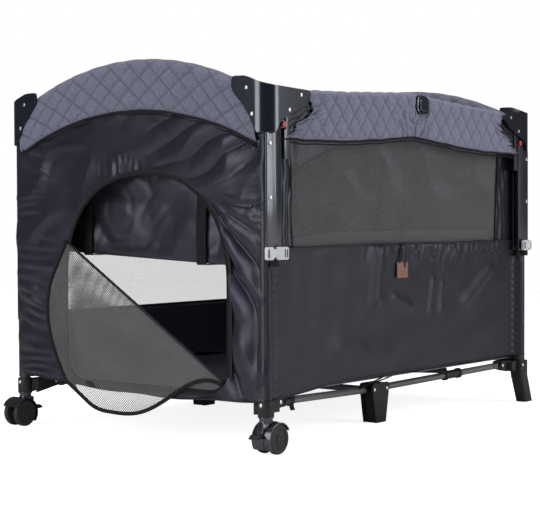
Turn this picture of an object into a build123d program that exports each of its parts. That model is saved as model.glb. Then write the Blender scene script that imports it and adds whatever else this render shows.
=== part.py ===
from build123d import *
from math import asin, cos, degrees, pi, radians, sin, sqrt
import os

os.makedirs("parts", exist_ok=True)

# Driving dimensions in millimetres: X runs along the length, Z is up, the floor is Z = 0
post_x = 530.0  # post axis to the middle, along the length
post_y = 362.5  # post axis to the middle, across the width
post_diameter = 24.0
tube_wall = 1.5
post_bottom = 90.0
post_top = 748.0

# Folding linkage: rails and floor tubes have the same reach and fall, so they turn alike
link_reach = 440.0
link_fall = 22.0
rail_pivot_x = 470.0
rail_pivot_z = 722.0
rail_diameter = 22.0
rail_tongue = 14.0
rail_pin = 8.0
floor_pivot_x = 466.0
floor_pivot_z = 100.0
floor_corner_y = 338.0
floor_centre_y = 262.0
floor_diameter = 16.0
floor_tongue = 10.0
floor_pin = 6.0
tongue_reach = 18.0  # pivot to the start of the round tube
tongue_overlap = 8.0  # how far the tongue runs into the tube
tongue_share = 0.74  # tongue width as a share of the tube's diameter
running_fit = 0.05  # radial clearance round a hinge pin

# Arched end rails and the padded bands over them
arch_radius = 716.0
arch_top = 811.0
arch_half = 342.0  # the rail ends this far from the middle, inside the caps
band_top = 832.0
band_low = 718.0
band_top_radius = 736.0
band_low_radius = 789.0
band_half = 318.0
band_inner_x = 513.0
band_outer_x = 547.0
band_round = 14.0

# Padded sleeves over the half rails, measured from the rail's axis
sleeve_far = 446.0
sleeve_near = 25.0
sleeve_high = 28.0
sleeve_low = 78.0
sleeve_half = 20.0
sleeve_wall = 5.0
sleeve_round = 12.0

# Corner caps
cap_outer_x = 552.0
cap_outer_y = 388.0
cap_wall = 4.0
cap_corner = 34.0
cap_tip = 656.0
cap_crown = 756.0
cap_wing_x = 409.0  # end of the side wing
cap_side_top = 750.0
cap_side_end = (747.0, 731.0)  # top and bottom of the side wing's end
cap_side_edge = [(429, 715), (463, 701), (496, 688), (515, 676)]
cap_wing_y = 294.0  # end of the end wing
cap_crown_y = 370.5  # outside this line the crown falls to the side wing
cap_end_rise = [(351, 764), (329, 772)]
cap_wing_top = 773.0  # the end wing climbs with the arch
cap_wing_low = 745.0
cap_end_edge = [(320, 719), (338, 695), (349, 675)]
cap_tip_y = 357.0
cap_tip_x = 524.0
cap_wing_round = 9.0
socket_x = 514.0  # inner faces of the block that holds the post and the arched rail
socket_y = 330.0
socket_low = 708.0
socket_high = 750.0
lug_inner_x = 450.0  # lug that carries a side rail's pin
lug_inner_y = 377.0
lug_half = 16.0
lug_boss = 9.0
lug_boss_y = 370.5
lug_pin_y = 352.0
rivet_diameter = 10.0
rivet_height = 2.5
rivet_taper = 30.0
cap_side_rivets = [(441, 737), (481, 704)]
cap_end_rivets = [(333, 748), (347, 694)]

# Centre latches of the side rails
cheek_inner = 8.0  # half the gap between the cheeks
cheek_outer = 14.0
cheek_height = 20.0
bezel_deep = 8.0
bezel_x = 33.0  # the button sits beside the pivot of the far half
bezel_size = (48.0, 42.0)
bezel_round = 14.0
bezel_clear = 29.8  # radius about the pivot that the far sleeve leaves free
button_size = (34.0, 28.0)
button_round = 10.0
button_rim = 0.3
button_thick = 6.0
button_sunk = 2.5

# Sheets of cloth
cloth = 2.0
end_cloth_x = 543.0
side_cloth_y = 355.0
side_half = 516.0
end_half = 374.0
hem_post = 114.0
hem_middle = 98.0
hem_rise = 6.0
drop_panel_top = 425.0
back_panel_top = 640.0
window_y = 347.6
window_cloth = 1.4
window_middle = 3.0  # each half window stops this far from the middle
net_strand = 5.0
seam = 0.2  # gap between two cloths that are sewn together
floor_cloth_z = 116.0
floor_cloth = 3.0

# Side doorway: an arch with a rounded sill, and the slanted line its mesh door folds on
door_centre = -36.0  # the opening is set towards the drop side
door_half = 240.0
door_spring = 340.0
door_rise = 240.0
door_square = 2.3  # how square its arch is; 2 would be an ellipse
arch_steps = 20
door_sill = 120.0
door_corner = 50.0
fold_high = (203.0, 432.0)
fold_low = (-266.0, 141.0)
flap_cloth = 1.6
flap_x = 549.5
flap_inset = 4.0
door_pitch = 28.0

# Drop side track, sliders and release buttons
track_inner_x = 497.0
track_outer_x = 547.0
track_back_y = 376.0
track_front_y = 380.0
track_crown = 2.0  # the face bulges this much at its middle
track_low = 398.0
track_high = 692.0
track_round = 2.5
track_roof = 10.0
track_rivets = [(536, 634), (536, 524)]
rivet_seat = 1.75  # the crowned face stands out this far under a rivet
channel_x = 524.0  # the slider's channel lies beside the post
channel_y = 359.0
cavity = (501.0, 514.0, 363.0, 374.0)
slot = (365.5, 371.5)
slider_low = 604.0
slider_high = 664.0
slider_gap = 0.5
ear_outer_x = 484.0
ear_outer_y = 382.0
ear_step_x = 490.0  # the neck steps out to the ear here
ear_arm = 12.0  # width of the arm below the pin
release_x = 495.0
release_z = 674.0
release_stem = 7.0
release_head = 13.0
release_inner_y = 373.0
release_head_y = 384.0
release_outer_y = 388.0
housing = (487.0, 501.0, 370.0, 381.0, 667.0)  # of the release, from its low edge to the track's top

# Bottom brackets, feet and casters
bracket_diameter = 34.0
bracket_low = 78.0
bracket_high = 110.5
ear_height = 22.0
ear_thick = 7.0
ear_tail = 31.0  # height of the clevis plates where they meet the post
bridge_x = 488.0  # bridge between the clevis plates, clear of the folding tube
bridge_low = 84.0
leg_low = 70.0
leg_top = (38.0, 34.0)
leg_sole = (40.0, 30.0)
leg_round = 7.0
foot_lean = 28.1
foot_plate = 4.0
foot_top = (94.0, 37.0)  # height and half width of the centre foot's top
foot_sole = 20.5
foot_round = 8.0
slot_edge = 17.0  # half width of the web between the slots for the tubes
slot_inner_y = 9.0  # the tubes splay, so each slot is wider on its outer side
slot_outer_y = 20.5
bar_drop = 3.0
wheel_radius = 31.0
wheel_inner = 10.0
wheel_width = 13.0
axle_radius = 3.0
caster_trail = 17.0
caster_stem = 11.0
caster_seat = 78.0
hood_gap = 1.5
hood_wall = 2.5
hood_half = 24.0
hood_front = 12.0  # ahead of this line the hood runs down to its low edge
hood_rear = 16.0  # behind it the hood stops this far above the axle
hood_low = 10.0
fork_half = 8.0
fork_low = 20.0
fork_high = 66.0
neck_radius = 14.0
collar_radius = 16.0
brake_x = -24.0
brake_z = 40.0
brake_pin = 2.5
brake_paddle = (14.0, 9.0)
brake_toe = (10.0, 4.0)
nose = (12.0, 11.0)  # of the caster, round the brake lever's pin
stem_high = 10.0
wheel_round = 3.0
brake_half = 9.0

# Bassinet tray and its mattress
tray_x = 498.0
tray_y = 338.0
tray_low = 395.0
tray_side = 455.0
tray_shoulder = 600.0
tray_end = 703.0
tray_hook = 190.0  # half width of the hook over the end band
tray_wall = 3.0
mattress_x = 488.0
mattress_y = 328.0
mattress_thick = 32.0
mattress_crown = 7.0
mattress_waist = 8.0  # how far each side draws in between the corners
mattress_corner = 30.0

# Side-release buckles of the bed straps
buckle_x = 523.0
buckle_y = 384.5  # its inner face
buckle_z = 411.0
buckle_size = (60.0, 26.0)
buckle_thick = 7.0
buckle_notch = 6.0
buckle_round = 4.0
buckle_turn = 10.0  # it hangs with its inner end standing out

rail_z = rail_pivot_z + link_fall  # height of the rails' centre pivots
rail_slope = link_fall / link_reach
rail_centre_x = rail_pivot_x - link_reach
floor_centre_x = floor_pivot_x - link_reach
floor_centre_z = floor_pivot_z - link_fall
ends = {"door": -1, "far": 1}
sides = {"drop": -1, "back": 1}


def save(piece, name, end=1, side=1):
    # Every corner piece is drawn at +X +Y, then mirrored to its own end and side
    if end < 0:
        piece = mirror(piece, about=Plane.YZ)
    if side < 0:
        piece = mirror(piece, about=Plane.XZ)
    piece.label = name
    export_step(piece, f"parts/{name}.step")


def facing_y(y):
    # Sketch plane across Y with local axes X and Z; a negative extrude goes towards +Y
    return Plane.XZ.offset(-y)


def sagging(half, z_ends, z_middle):
    return ThreePointArc((-half, z_ends), (0, z_middle), (half, z_ends))


def arc_height(radius, crown, offset):
    return crown - radius + sqrt(radius**2 - offset**2)


def block(x0, x1, y0, y1, z0, z1, mode=Mode.ADD):
    with Locations(((x0 + x1) / 2, (y0 + y1) / 2, (z0 + z1) / 2)):
        Box(x1 - x0, y1 - y0, z1 - z0, mode=mode)


def bar_y(x, z, radius, y0, y1, mode=Mode.ADD):
    # Round bar or hole along Y
    with BuildSketch(facing_y(y0)) as ring:
        with Locations((x, z)):
            Circle(radius)
    extrude(ring.sketch, amount=y0 - y1, mode=mode)


# Corner posts, and the solid rod that cuts their seats in other pieces
with BuildPart() as post_rod:
    with BuildSketch(Plane.XY.offset(post_bottom)):
        with Locations((post_x, post_y)):
            Circle(post_diameter / 2)
    extrude(amount=post_top - post_bottom)

with BuildPart() as post:
    with BuildSketch(Plane.XY.offset(post_bottom)):
        with Locations((post_x, post_y)):
            Circle(post_diameter / 2)
            Circle(post_diameter / 2 - tube_wall, mode=Mode.SUBTRACT)
    extrude(amount=post_top - post_bottom)

for end_name, end in ends.items():
    for side_name, side in sides.items():
        save(post.part, f"{end_name}_{side_name}_post", end, side)

# Arched end rails
arch_centre_z = arch_top - arch_radius
arch_reach = degrees(asin(arch_half / arch_radius))


def arch_tube(outer, inner):
    # The section stands at one end of the arch and turns about the arch's own centre
    hub = (0, 0, arch_centre_z)
    facing = (0, -cos(radians(arch_reach)), -sin(radians(arch_reach)))
    with BuildPart() as tube:
        with BuildSketch(Plane(origin=hub, x_dir=(1, 0, 0), z_dir=facing)):
            with Locations((post_x, arch_radius)):
                Circle(outer / 2)
                if inner:
                    Circle(inner / 2, mode=Mode.SUBTRACT)
        revolve(axis=Axis(hub, (-1, 0, 0)), revolution_arc=2 * arch_reach)
    return tube.part


arch_rail = arch_tube(rail_diameter, rail_diameter - 2 * tube_wall)
arch_rod = arch_tube(rail_diameter, 0)
for end_name, end in ends.items():
    save(arch_rail, f"{end_name}_arch_rail", end)

# Padded band over each arched rail
with BuildPart() as arch_cover:
    with BuildSketch(Plane.YZ.offset(band_inner_x)):
        with BuildLine():
            high = arc_height(band_top_radius, band_top, band_half)
            low = arc_height(band_low_radius, band_low, band_half)
            sagging(band_half, high, band_top)
            Line((band_half, high), (band_half, low))
            sagging(band_half, low, band_low)
            Line((-band_half, low), (-band_half, high))
        make_face()
    extrude(amount=band_outer_x - band_inner_x)
    crown_edges = arch_cover.edges().filter_by(GeomType.CIRCLE).sort_by(Axis.Z)[-2:]
    fillet(crown_edges, radius=band_round)
    add(arch_rod, mode=Mode.SUBTRACT)

for end_name, end in ends.items():
    save(arch_cover.part, f"{end_name}_arch_cover", end)


def rail_lug(inner_x, outer_x, outer_y, low):
    # Block beside a side rail's tongue, with the boss and pin that the rail turns on
    block(inner_x, outer_x, lug_inner_y, outer_y, low, rail_pivot_z + lug_half)
    bar_y(rail_pivot_x, rail_pivot_z, lug_boss, lug_boss_y, lug_inner_y)
    bar_y(rail_pivot_x, rail_pivot_z, rail_pin / 2, lug_pin_y, lug_inner_y)


# Corner caps: a shell round the corner, trimmed to a shield from the end and from the side
def corner_cap(has_rail_pin):
    inner_x = cap_outer_x - cap_wall
    inner_y = cap_outer_y - cap_wall
    margin = 16.0  # how far the trimming outlines stand outside the shell
    with BuildPart() as cap:
        with BuildSketch(Plane.XY.offset(cap_tip - margin)) as plan:
            with BuildLine():
                Polyline(
                    (cap_outer_x, cap_wing_y),
                    (cap_outer_x, cap_outer_y),
                    (cap_wing_x, cap_outer_y),
                    (cap_wing_x, inner_y),
                    (inner_x, inner_y),
                    (inner_x, cap_wing_y),
                    close=True,
                )
            make_face()
            bend = plan.vertices().group_by(SortBy.DISTANCE)[-1]
            fillet(bend, radius=cap_corner)
            inner_bend = plan.vertices().sort_by_distance((inner_x, inner_y))[0]
            fillet(inner_bend, radius=cap_corner - cap_wall)
        extrude(amount=cap_wing_top + margin - cap_tip)
        # Shield seen from the end: its wing rises with the arch
        with BuildSketch(Plane.YZ.offset(cap_wing_x - margin)) as end_view:
            out_y = cap_outer_y + margin
            fall = (cap_crown - cap_side_top) / (cap_outer_y - cap_crown_y)
            eave = cap_side_top - fall * margin
            with BuildLine():
                Polyline((out_y, cap_tip), (out_y, eave), (cap_crown_y, cap_crown))
                Spline((cap_crown_y, cap_crown), *cap_end_rise, (cap_wing_y, cap_wing_top))
                Line((cap_wing_y, cap_wing_top), (cap_wing_y, cap_wing_low))
                Spline((cap_wing_y, cap_wing_low), *cap_end_edge, (cap_tip_y, cap_tip))
                Line((cap_tip_y, cap_tip), (out_y, cap_tip))
            make_face()
            fillet(end_view.vertices().sort_by(Axis.X)[:2], radius=cap_wing_round)
        extrude(amount=cap_outer_x - cap_wing_x + 2 * margin, mode=Mode.INTERSECT)
        # Shield seen from the side
        with BuildSketch(facing_y(cap_wing_y - margin)) as side_view:
            out_x = cap_outer_x + margin
            with BuildLine():
                Polyline((out_x, cap_tip), (out_x, cap_wing_top), (cap_tip_x, cap_wing_top))
                Polyline((cap_tip_x, cap_wing_top), (cap_tip_x, cap_side_top), (cap_wing_x, cap_side_end[0]))
                Line((cap_wing_x, cap_side_end[0]), (cap_wing_x, cap_side_end[1]))
                Spline((cap_wing_x, cap_side_end[1]), *cap_side_edge, (cap_tip_x, cap_tip))
                Line((cap_tip_x, cap_tip), (out_x, cap_tip))
            make_face()
            fillet(side_view.vertices().sort_by(Axis.X)[:2], radius=cap_wing_round - 2)
        extrude(amount=cap_wing_y - cap_outer_y - 2 * margin, mode=Mode.INTERSECT)
        # Socket block that the post and the arched rail plug into
        block(socket_x, inner_x, socket_y, inner_y, socket_low, socket_high)
        add(post_rod.part, mode=Mode.SUBTRACT)
        add(arch_rod, mode=Mode.SUBTRACT)
        with BuildSketch(Plane.XY.offset(cap_tip)) as round_off:
            Rectangle(2 * cap_outer_x, 2 * cap_outer_y)
            fillet(round_off.vertices(), radius=cap_corner)
        extrude(amount=cap_wing_top - cap_tip, mode=Mode.INTERSECT)
        if has_rail_pin:
            rail_lug(lug_inner_x, cap_tip_x, inner_y, rail_pivot_z - lug_half)
    return cap.part


plain_cap = corner_cap(False)
pinned_cap = corner_cap(True)
for end_name, end in ends.items():
    save(plain_cap, f"{end_name}_drop_cap", end, -1)
    save(pinned_cap, f"{end_name}_back_cap", end, 1)


# Half rails and half floor tubes, each with a flat tongue and a pin hole at both ends
def link(start, finish, outer, tongue, pin):
    a, b = Vector(start), Vector(finish)
    run = (b - a).normalized()
    with BuildPart() as rod:
        with BuildSketch(Plane(origin=a + run * tongue_reach, z_dir=run)):
            Circle(outer / 2)
            Circle(outer / 2 - tube_wall, mode=Mode.SUBTRACT)
        extrude(amount=(b - a).length - 2 * tongue_reach)
        for pivot, way in ((a, run), (b, run * -1)):
            root = pivot + way * (tongue_reach + tongue_overlap)
            with BuildSketch(facing_y(pivot.Y - tongue / 2)):
                middle = ((pivot.X + root.X) / 2, (pivot.Z + root.Z) / 2)
                SlotCenterPoint(middle, (pivot.X, pivot.Z), outer * tongue_share)
            extrude(amount=-tongue)
            hole = pin / 2 + running_fit
            bar_y(pivot.X, pivot.Z, hole, pivot.Y - tongue, pivot.Y + tongue, mode=Mode.SUBTRACT)
    return rod.part


half_rail = link(
    (rail_pivot_x, post_y, rail_pivot_z),
    (rail_centre_x, post_y, rail_z),
    rail_diameter,
    rail_tongue,
    rail_pin,
)
for end_name, end in ends.items():
    for side_name, side in sides.items():
        save(half_rail, f"{side_name}_{end_name}_rail", end, side)

half_floor = link(
    (floor_pivot_x, floor_corner_y, floor_pivot_z),
    (floor_centre_x, floor_centre_y, floor_centre_z),
    floor_diameter,
    floor_tongue,
    floor_pin,
)
for end_name, end in ends.items():
    with BuildPart() as pair:
        add(half_floor)
        mirror(about=Plane.XZ)
    save(pair.part, f"{end_name}_floor_tubes", end)


# Padded sleeve over each half rail: an upside-down channel, open below
def along_rail(x, above):
    return (x, rail_z - (x - rail_centre_x) * rail_slope + above)


def rail_strip(low, high):
    # Face in the rail's own upright plane, between two heights about the axis
    Polygon(
        along_rail(sleeve_near, low),
        along_rail(sleeve_far, low),
        along_rail(sleeve_far, high),
        along_rail(sleeve_near, high),
        align=None,
    )


with BuildPart() as sleeve:
    with BuildSketch(facing_y(post_y - sleeve_half)):
        rail_strip(-sleeve_low, sleeve_high)
    extrude(amount=-2 * sleeve_half)
    top_edges = sleeve.edges().filter_by(Axis.X, tolerance=5).sort_by(Axis.Z)[-2:]
    fillet(top_edges, radius=sleeve_round)
    with BuildSketch(facing_y(post_y - sleeve_half + sleeve_wall)):
        rail_strip(-sleeve_low, rail_diameter / 2 + seam)
    extrude(amount=-2 * (sleeve_half - sleeve_wall), mode=Mode.SUBTRACT)

# The far half is cut out round the latch's bezel, about the pivot it turns on
with BuildPart() as cut_sleeve:
    add(sleeve.part)
    with BuildSketch(facing_y(post_y + cheek_outer - seam)):
        with Locations((rail_centre_x, rail_z)):
            Circle(bezel_clear)
    extrude(amount=-sleeve_half, mode=Mode.SUBTRACT)

for side_name, side in sides.items():
    save(sleeve.part, f"{side_name}_door_cover", ends["door"], side)
    save(cut_sleeve.part, f"{side_name}_far_cover", ends["far"], side)

# Centre latches: two cheeks and a web carry a pivot for each half rail
fork_x = rail_centre_x + 12.0  # middle of the slot that takes a rail's tongue
fork_long = 58.0
bezel_back = post_y + cheek_outer
bezel_front = bezel_back + bezel_deep
with BuildPart() as latch:
    with BuildSketch(facing_y(post_y - cheek_outer)):
        with Locations((0, rail_z)):
            SlotCenterToCenter(2 * rail_centre_x, cheek_height)
    extrude(amount=-2 * cheek_outer)
    with BuildSketch(facing_y(post_y - cheek_inner)):
        with Locations((-fork_x, rail_z), (fork_x, rail_z)):
            Rectangle(fork_long, 2 * cheek_height)
    extrude(amount=-2 * cheek_inner, mode=Mode.SUBTRACT)
    for way in (-1, 1):
        bar_y(way * rail_centre_x, rail_z, rail_pin / 2, post_y - cheek_outer, bezel_back)
    with BuildSketch(facing_y(bezel_back)):
        with Locations((bezel_x, rail_z)):
            RectangleRounded(*bezel_size, bezel_round)
    extrude(amount=-bezel_deep)
    with BuildSketch(facing_y(bezel_front)):
        with Locations((bezel_x, rail_z)):
            RectangleRounded(button_size[0] + 2 * button_rim, button_size[1] + 2 * button_rim, button_round)
    extrude(amount=bezel_deep - 1, mode=Mode.SUBTRACT)

with BuildPart() as latch_button:
    with BuildSketch(facing_y(bezel_front - button_sunk)):
        with Locations((bezel_x, rail_z)):
            RectangleRounded(*button_size, button_round)
    extrude(amount=-button_thick)
    fillet(latch_button.faces().sort_by(Axis.Y)[-1].edges(), radius=button_sunk)

for side_name, side in sides.items():
    save(latch.part, f"{side_name}_latch", side=side)
    save(latch_button.part, f"{side_name}_latch_button", side=side)

# Track on each drop-side post: a crowned face, and beside the post a slotted channel for the slider
with BuildPart() as track:
    with BuildSketch(Plane.XY.offset(track_low)):
        with BuildLine():
            Polyline(
                (track_inner_x, track_front_y),
                (track_inner_x, channel_y),
                (channel_x, channel_y),
                (channel_x, track_back_y),
                (track_outer_x, track_back_y),
                (track_outer_x, track_front_y),
            )
            middle_x = (track_inner_x + track_outer_x) / 2
            crown = (middle_x, track_front_y + track_crown)
            ThreePointArc((track_outer_x, track_front_y), crown, (track_inner_x, track_front_y))
        make_face()
    extrude(amount=track_high - track_low)
    fillet(track.edges().filter_by(Axis.Z).sort_by(Axis.Y)[-2:], radius=track_round)
    block(*housing, track_high)
    block(*cavity, track_low, track_high - track_roof, mode=Mode.SUBTRACT)
    # Above the cap's tip the face stops short of the cap's rounded corner
    block(channel_x, track_outer_x, channel_y, cap_outer_y, cap_tip - seam, track_high, mode=Mode.SUBTRACT)
    block(track_inner_x, cavity[0], *slot, track_low, slider_high + slider_gap, mode=Mode.SUBTRACT)
    add(post_rod.part, mode=Mode.SUBTRACT)
    bore = release_stem / 2 + running_fit
    bar_y(release_x, release_z, bore, channel_y, release_outer_y, mode=Mode.SUBTRACT)

with BuildPart() as release:
    bar_y(release_x, release_z, release_stem / 2, release_inner_y, release_head_y)
    bar_y(release_x, release_z, release_head / 2, release_head_y, release_outer_y)
    fillet(release.edges().sort_by(Axis.Y)[-1], radius=2)

# Slider: a tongue in the channel, a neck through the slot and an ear with the rail's pin
with BuildPart() as slider:
    x0, x1, y0, y1 = cavity
    gap = slider_gap
    neck_y = slot[0] + gap
    block(x0 + gap, x1 - gap, y0 + gap, y1 - gap, slider_low, slider_high)
    block(ear_outer_x, x0 + 2 * gap, neck_y, slot[1] - gap, slider_low, slider_high)
    block(ear_outer_x, ear_step_x, neck_y, ear_outer_y, slider_low, slider_high)
    rail_lug(lug_inner_x, ear_outer_x, ear_outer_y, rail_pivot_z - lug_half)
    block(ear_outer_x - ear_arm, ear_outer_x, lug_inner_y, ear_outer_y, slider_low, rail_pivot_z)

for end_name, end in ends.items():
    save(track.part, f"{end_name}_drop_track", end, -1)
    save(release.part, f"{end_name}_drop_release", end, -1)
    save(slider.part, f"{end_name}_drop_slider", end, -1)


# Bottom brackets: a sleeve on the post and a clevis for the floor tube
def clevis():
    inner = floor_tongue / 2 + 1
    outer = inner + ear_thick
    tail_x = post_x - 6
    tail_low = bracket_high - 1 - ear_tail
    for near in (floor_corner_y - outer, floor_corner_y + inner):
        with BuildSketch(facing_y(near)) as ear:
            with Locations((floor_pivot_x, floor_pivot_z)):
                Circle(ear_height / 2)
            Polygon(
                (floor_pivot_x, floor_pivot_z + ear_height / 2),
                (floor_pivot_x, floor_pivot_z - ear_height / 2),
                (tail_x, tail_low),
                (tail_x, tail_low + ear_tail),
                align=None,
            )
        extrude(ear.sketch, amount=-ear_thick)
    bar_y(floor_pivot_x, floor_pivot_z, floor_pin / 2, floor_corner_y - outer, floor_corner_y + outer)
    bridge_y = (floor_corner_y - outer, post_y + floor_pin / 2)
    block(bridge_x, tail_x, *bridge_y, bridge_low, bracket_high - 2)


def bracket(has_leg):
    low = leg_low if has_leg else bracket_low
    with BuildPart() as foot:
        with BuildSketch(Plane.XY.offset(low)):
            with Locations((post_x, post_y)):
                if has_leg:
                    RectangleRounded(*leg_top, leg_round)
                else:
                    Circle(bracket_diameter / 2)
        extrude(amount=bracket_high - low)
        clevis()
        if has_leg:
            with BuildSketch(Plane.XY.offset(leg_low + 2)):
                with Locations((post_x, post_y)):
                    RectangleRounded(*leg_top, leg_round)
            with BuildSketch(Plane.XY):
                with Locations((post_x + foot_lean, post_y)):
                    RectangleRounded(*leg_sole, leg_round)
            loft()
        add(post_rod.part, mode=Mode.SUBTRACT)
        if not has_leg:
            with BuildSketch(Plane.XY.offset(low)):
                with Locations((post_x, post_y)):
                    Circle(caster_stem / 2 + running_fit)
            extrude(amount=post_bottom - low, mode=Mode.SUBTRACT)
    return foot.part


caster_bracket = bracket(False)
leg_bracket = bracket(True)
for side_name, side in sides.items():
    save(caster_bracket, f"door_{side_name}_bracket", -1, side)
    save(leg_bracket, f"far_{side_name}_foot", 1, side)

# Centre feet: tapered blocks with a slot for each floor tube, and the bar that joins them
foot_inner_y = floor_centre_y - slot_inner_y - foot_plate
foot_outer_y = floor_centre_y + slot_outer_y + foot_plate
foot_high, foot_wide = foot_top
tongue_side = floor_tongue / 2 + 1
with BuildPart() as centre_foot:
    with BuildSketch(facing_y(foot_inner_y)) as profile:
        Polygon((-foot_sole, 0), (foot_sole, 0), (foot_wide, foot_high), (-foot_wide, foot_high), align=None)
        fillet(profile.vertices().sort_by(Axis.Y)[-2:], radius=foot_round)
    extrude(amount=foot_inner_y - foot_outer_y)
    for way in (-1, 1):
        pin_x = way * floor_centre_x
        slot_x = sorted((way * slot_edge, way * 2 * foot_wide))
        slot_y = (floor_centre_y - slot_inner_y, floor_centre_y + slot_outer_y)
        block(*slot_x, *slot_y, -1, foot_high + 1, mode=Mode.SUBTRACT)
        bar_y(pin_x, floor_centre_z, floor_pin, slot_y[0], floor_centre_y - tongue_side)
        bar_y(pin_x, floor_centre_z, floor_pin, floor_centre_y + tongue_side, slot_y[1])
        bar_y(pin_x, floor_centre_z, floor_pin / 2, foot_inner_y, foot_outer_y)

with BuildPart() as feet_pair:
    add(centre_foot.part)
    mirror(about=Plane.XZ)
save(feet_pair.part, "centre_feet")

bar_half = foot_inner_y - seam
with BuildPart() as centre_bar:
    bar_z = floor_centre_z - bar_drop
    bar_y(0, bar_z, floor_diameter / 2, -bar_half, bar_half)
    bar_y(0, bar_z, floor_diameter / 2 - tube_wall, -bar_half, bar_half, mode=Mode.SUBTRACT)
save(centre_bar.part, "centre_bar")

# Casters, drawn with the swivel axis on Z and the wheels trailing along +X
cut = 120.0  # size of the boxes that trim the hood
with BuildPart() as caster_body:
    with BuildSketch(Plane.XZ):
        with Locations((caster_trail, wheel_radius)):
            Circle(wheel_radius + hood_gap + hood_wall)
            Circle(wheel_radius + hood_gap, mode=Mode.SUBTRACT)
        with Locations((caster_trail - hood_front + cut / 2, wheel_radius + hood_rear - cut / 2)):
            Rectangle(cut, cut, mode=Mode.SUBTRACT)
        Rectangle(cut, 2 * hood_low, mode=Mode.SUBTRACT)
    extrude(amount=hood_half, both=True)
    block(brake_x + 5, caster_trail + 11, -fork_half, fork_half, fork_low, fork_high)
    with BuildSketch(Plane.XY.offset(fork_high - 2)):
        Circle(neck_radius)
    extrude(amount=caster_seat - fork_high + 1)
    with BuildSketch(Plane.XY.offset(caster_seat - 3)):
        Circle(collar_radius)
    extrude(amount=2.5)
    with BuildSketch(Plane.XY.offset(caster_seat - 1)):
        Circle(caster_stem / 2)
    extrude(amount=stem_high)
    bar_y(caster_trail, wheel_radius, axle_radius + running_fit, -hood_half, hood_half, mode=Mode.SUBTRACT)
    # Nose that carries the brake lever's pin
    with BuildSketch(facing_y(-fork_half / 2)):
        with Locations((brake_x + 4, brake_z)):
            SlotCenterToCenter(*nose)
    extrude(amount=-fork_half)
    bar_y(brake_x, brake_z, brake_pin, -brake_half - 1, brake_half + 1)

with BuildPart() as wheel_pair:
    bar_y(caster_trail, wheel_radius, wheel_radius, wheel_inner, wheel_inner + wheel_width)
    fillet(wheel_pair.edges().filter_by(GeomType.CIRCLE), radius=wheel_round)
    mirror(about=Plane.XZ)
    bar_y(caster_trail, wheel_radius, axle_radius, -wheel_inner - 2, wheel_inner + 2)

with BuildPart() as brake:
    with BuildSketch(facing_y(-brake_half)):
        with Locations((brake_x - 7, brake_z)):
            SlotCenterToCenter(*brake_paddle)
        with Locations((brake_x - 17, brake_z - 2)):
            Rectangle(*brake_toe)
    extrude(amount=-2 * brake_half)
    block(brake_x - 8.5, 0, -fork_half + 3, fork_half - 3, brake_z - 10, brake_z + 10, mode=Mode.SUBTRACT)
    bar_y(brake_x, brake_z, brake_pin + running_fit, -brake_half, brake_half, mode=Mode.SUBTRACT)

caster_pieces = {"caster": caster_body.part, "wheels": wheel_pair.part, "brake": brake.part}
for side_name, side in sides.items():
    # The drop-side caster trails inwards, the back one outwards
    turn = 0 if side < 0 else 180
    seat = Location((-post_x, side * post_y, 0), (0, 0, turn))
    for piece_name, piece in caster_pieces.items():
        save(seat * piece, f"door_{side_name}_{piece_name}")


# End cloths: the top edge follows the band and the hem sags
def end_outline():
    with BuildLine() as edge:
        top = arc_height(band_low_radius, band_low, end_half) - seam
        sagging(end_half, top, band_low - seam)
        Line((end_half, top), (end_half, hem_post))
        sagging(end_half, hem_post, hem_middle)
        Line((-end_half, hem_post), (-end_half, top))
    make_face(edge.edges())


def arch_edge(turn, grow):
    # Point of the doorway's arch, a superellipse
    across, up = cos(turn), max(sin(turn), 0)
    y = abs(across) ** (2 / door_square) * (door_half + grow)
    z = up ** (2 / door_square) * (door_rise + grow)
    return door_centre + (y if across > 0 else -y), door_spring + z


def doorway(grow=0.0, mode=Mode.ADD):
    left, right = door_centre - door_half - grow, door_centre + door_half + grow
    sill = door_sill - grow
    corner = door_corner
    with BuildLine() as edge:
        arch = [arch_edge(pi * k / arch_steps, grow) for k in range(arch_steps + 1)]
        Spline(*arch, tangents=[(0, 1), (0, -1)])
        Line((left, door_spring), (left, sill + corner))
        CenterArc((left + corner, sill + corner), corner, 180, 90)
        Line((left + corner, sill), (right - corner, sill))
        CenterArc((right - corner, sill + corner), corner, 270, 90)
        Line((right, sill + corner), (right, door_spring))
    make_face(edge.edges(), mode=mode)


fold_run = Vector(fold_low[0] - fold_high[0], fold_low[1] - fold_high[1], 0).normalized()
fold_up = Vector(fold_run.Y, -fold_run.X, 0)  # points into the opening


def fold_side(away, gap):
    # Half plane on one side of the fold line, kept clear of it by a gap
    far_off = 900.0
    origin = Vector(*fold_high, 0) + away * gap
    a = origin - fold_run * far_off
    b = origin + fold_run * far_off
    c, d = b + away * far_off, a + away * far_off
    Polygon(*[(p.X, p.Y) for p in (a, b, c, d)], align=None, mode=Mode.INTERSECT)


def in_doorway(y, z, margin):
    half_width = door_half - margin
    off = abs(y - door_centre)
    if z > door_spring:
        up = (z - door_spring) / (door_rise - margin)
        return (off / half_width) ** door_square + up**door_square < 1
    reach = max(off - door_half + door_corner, 0)
    drop = max(door_sill + door_corner - z, 0)
    return off < half_width and z > door_sill + margin and reach**2 + drop**2 < (door_corner - margin) ** 2


def above_fold(y, z):
    return (Vector(y, z, 0) - Vector(*fold_high, 0)).dot(fold_up)


def net_points(margin, belongs):
    # Gap centres on a diamond grid over the doorway
    points = []
    for row in range(-40, 41):
        for column in range(-40, 41):
            y = (column + 0.5 * (row % 2)) * door_pitch
            z = door_spring + row * door_pitch / 2
            if in_doorway(y, z, margin) and belongs(above_fold(y, z)):
                points.append((y, z))
    return points


door_gap = door_pitch / sqrt(2) - net_strand
net_margin = door_pitch / 2 + 10

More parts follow.
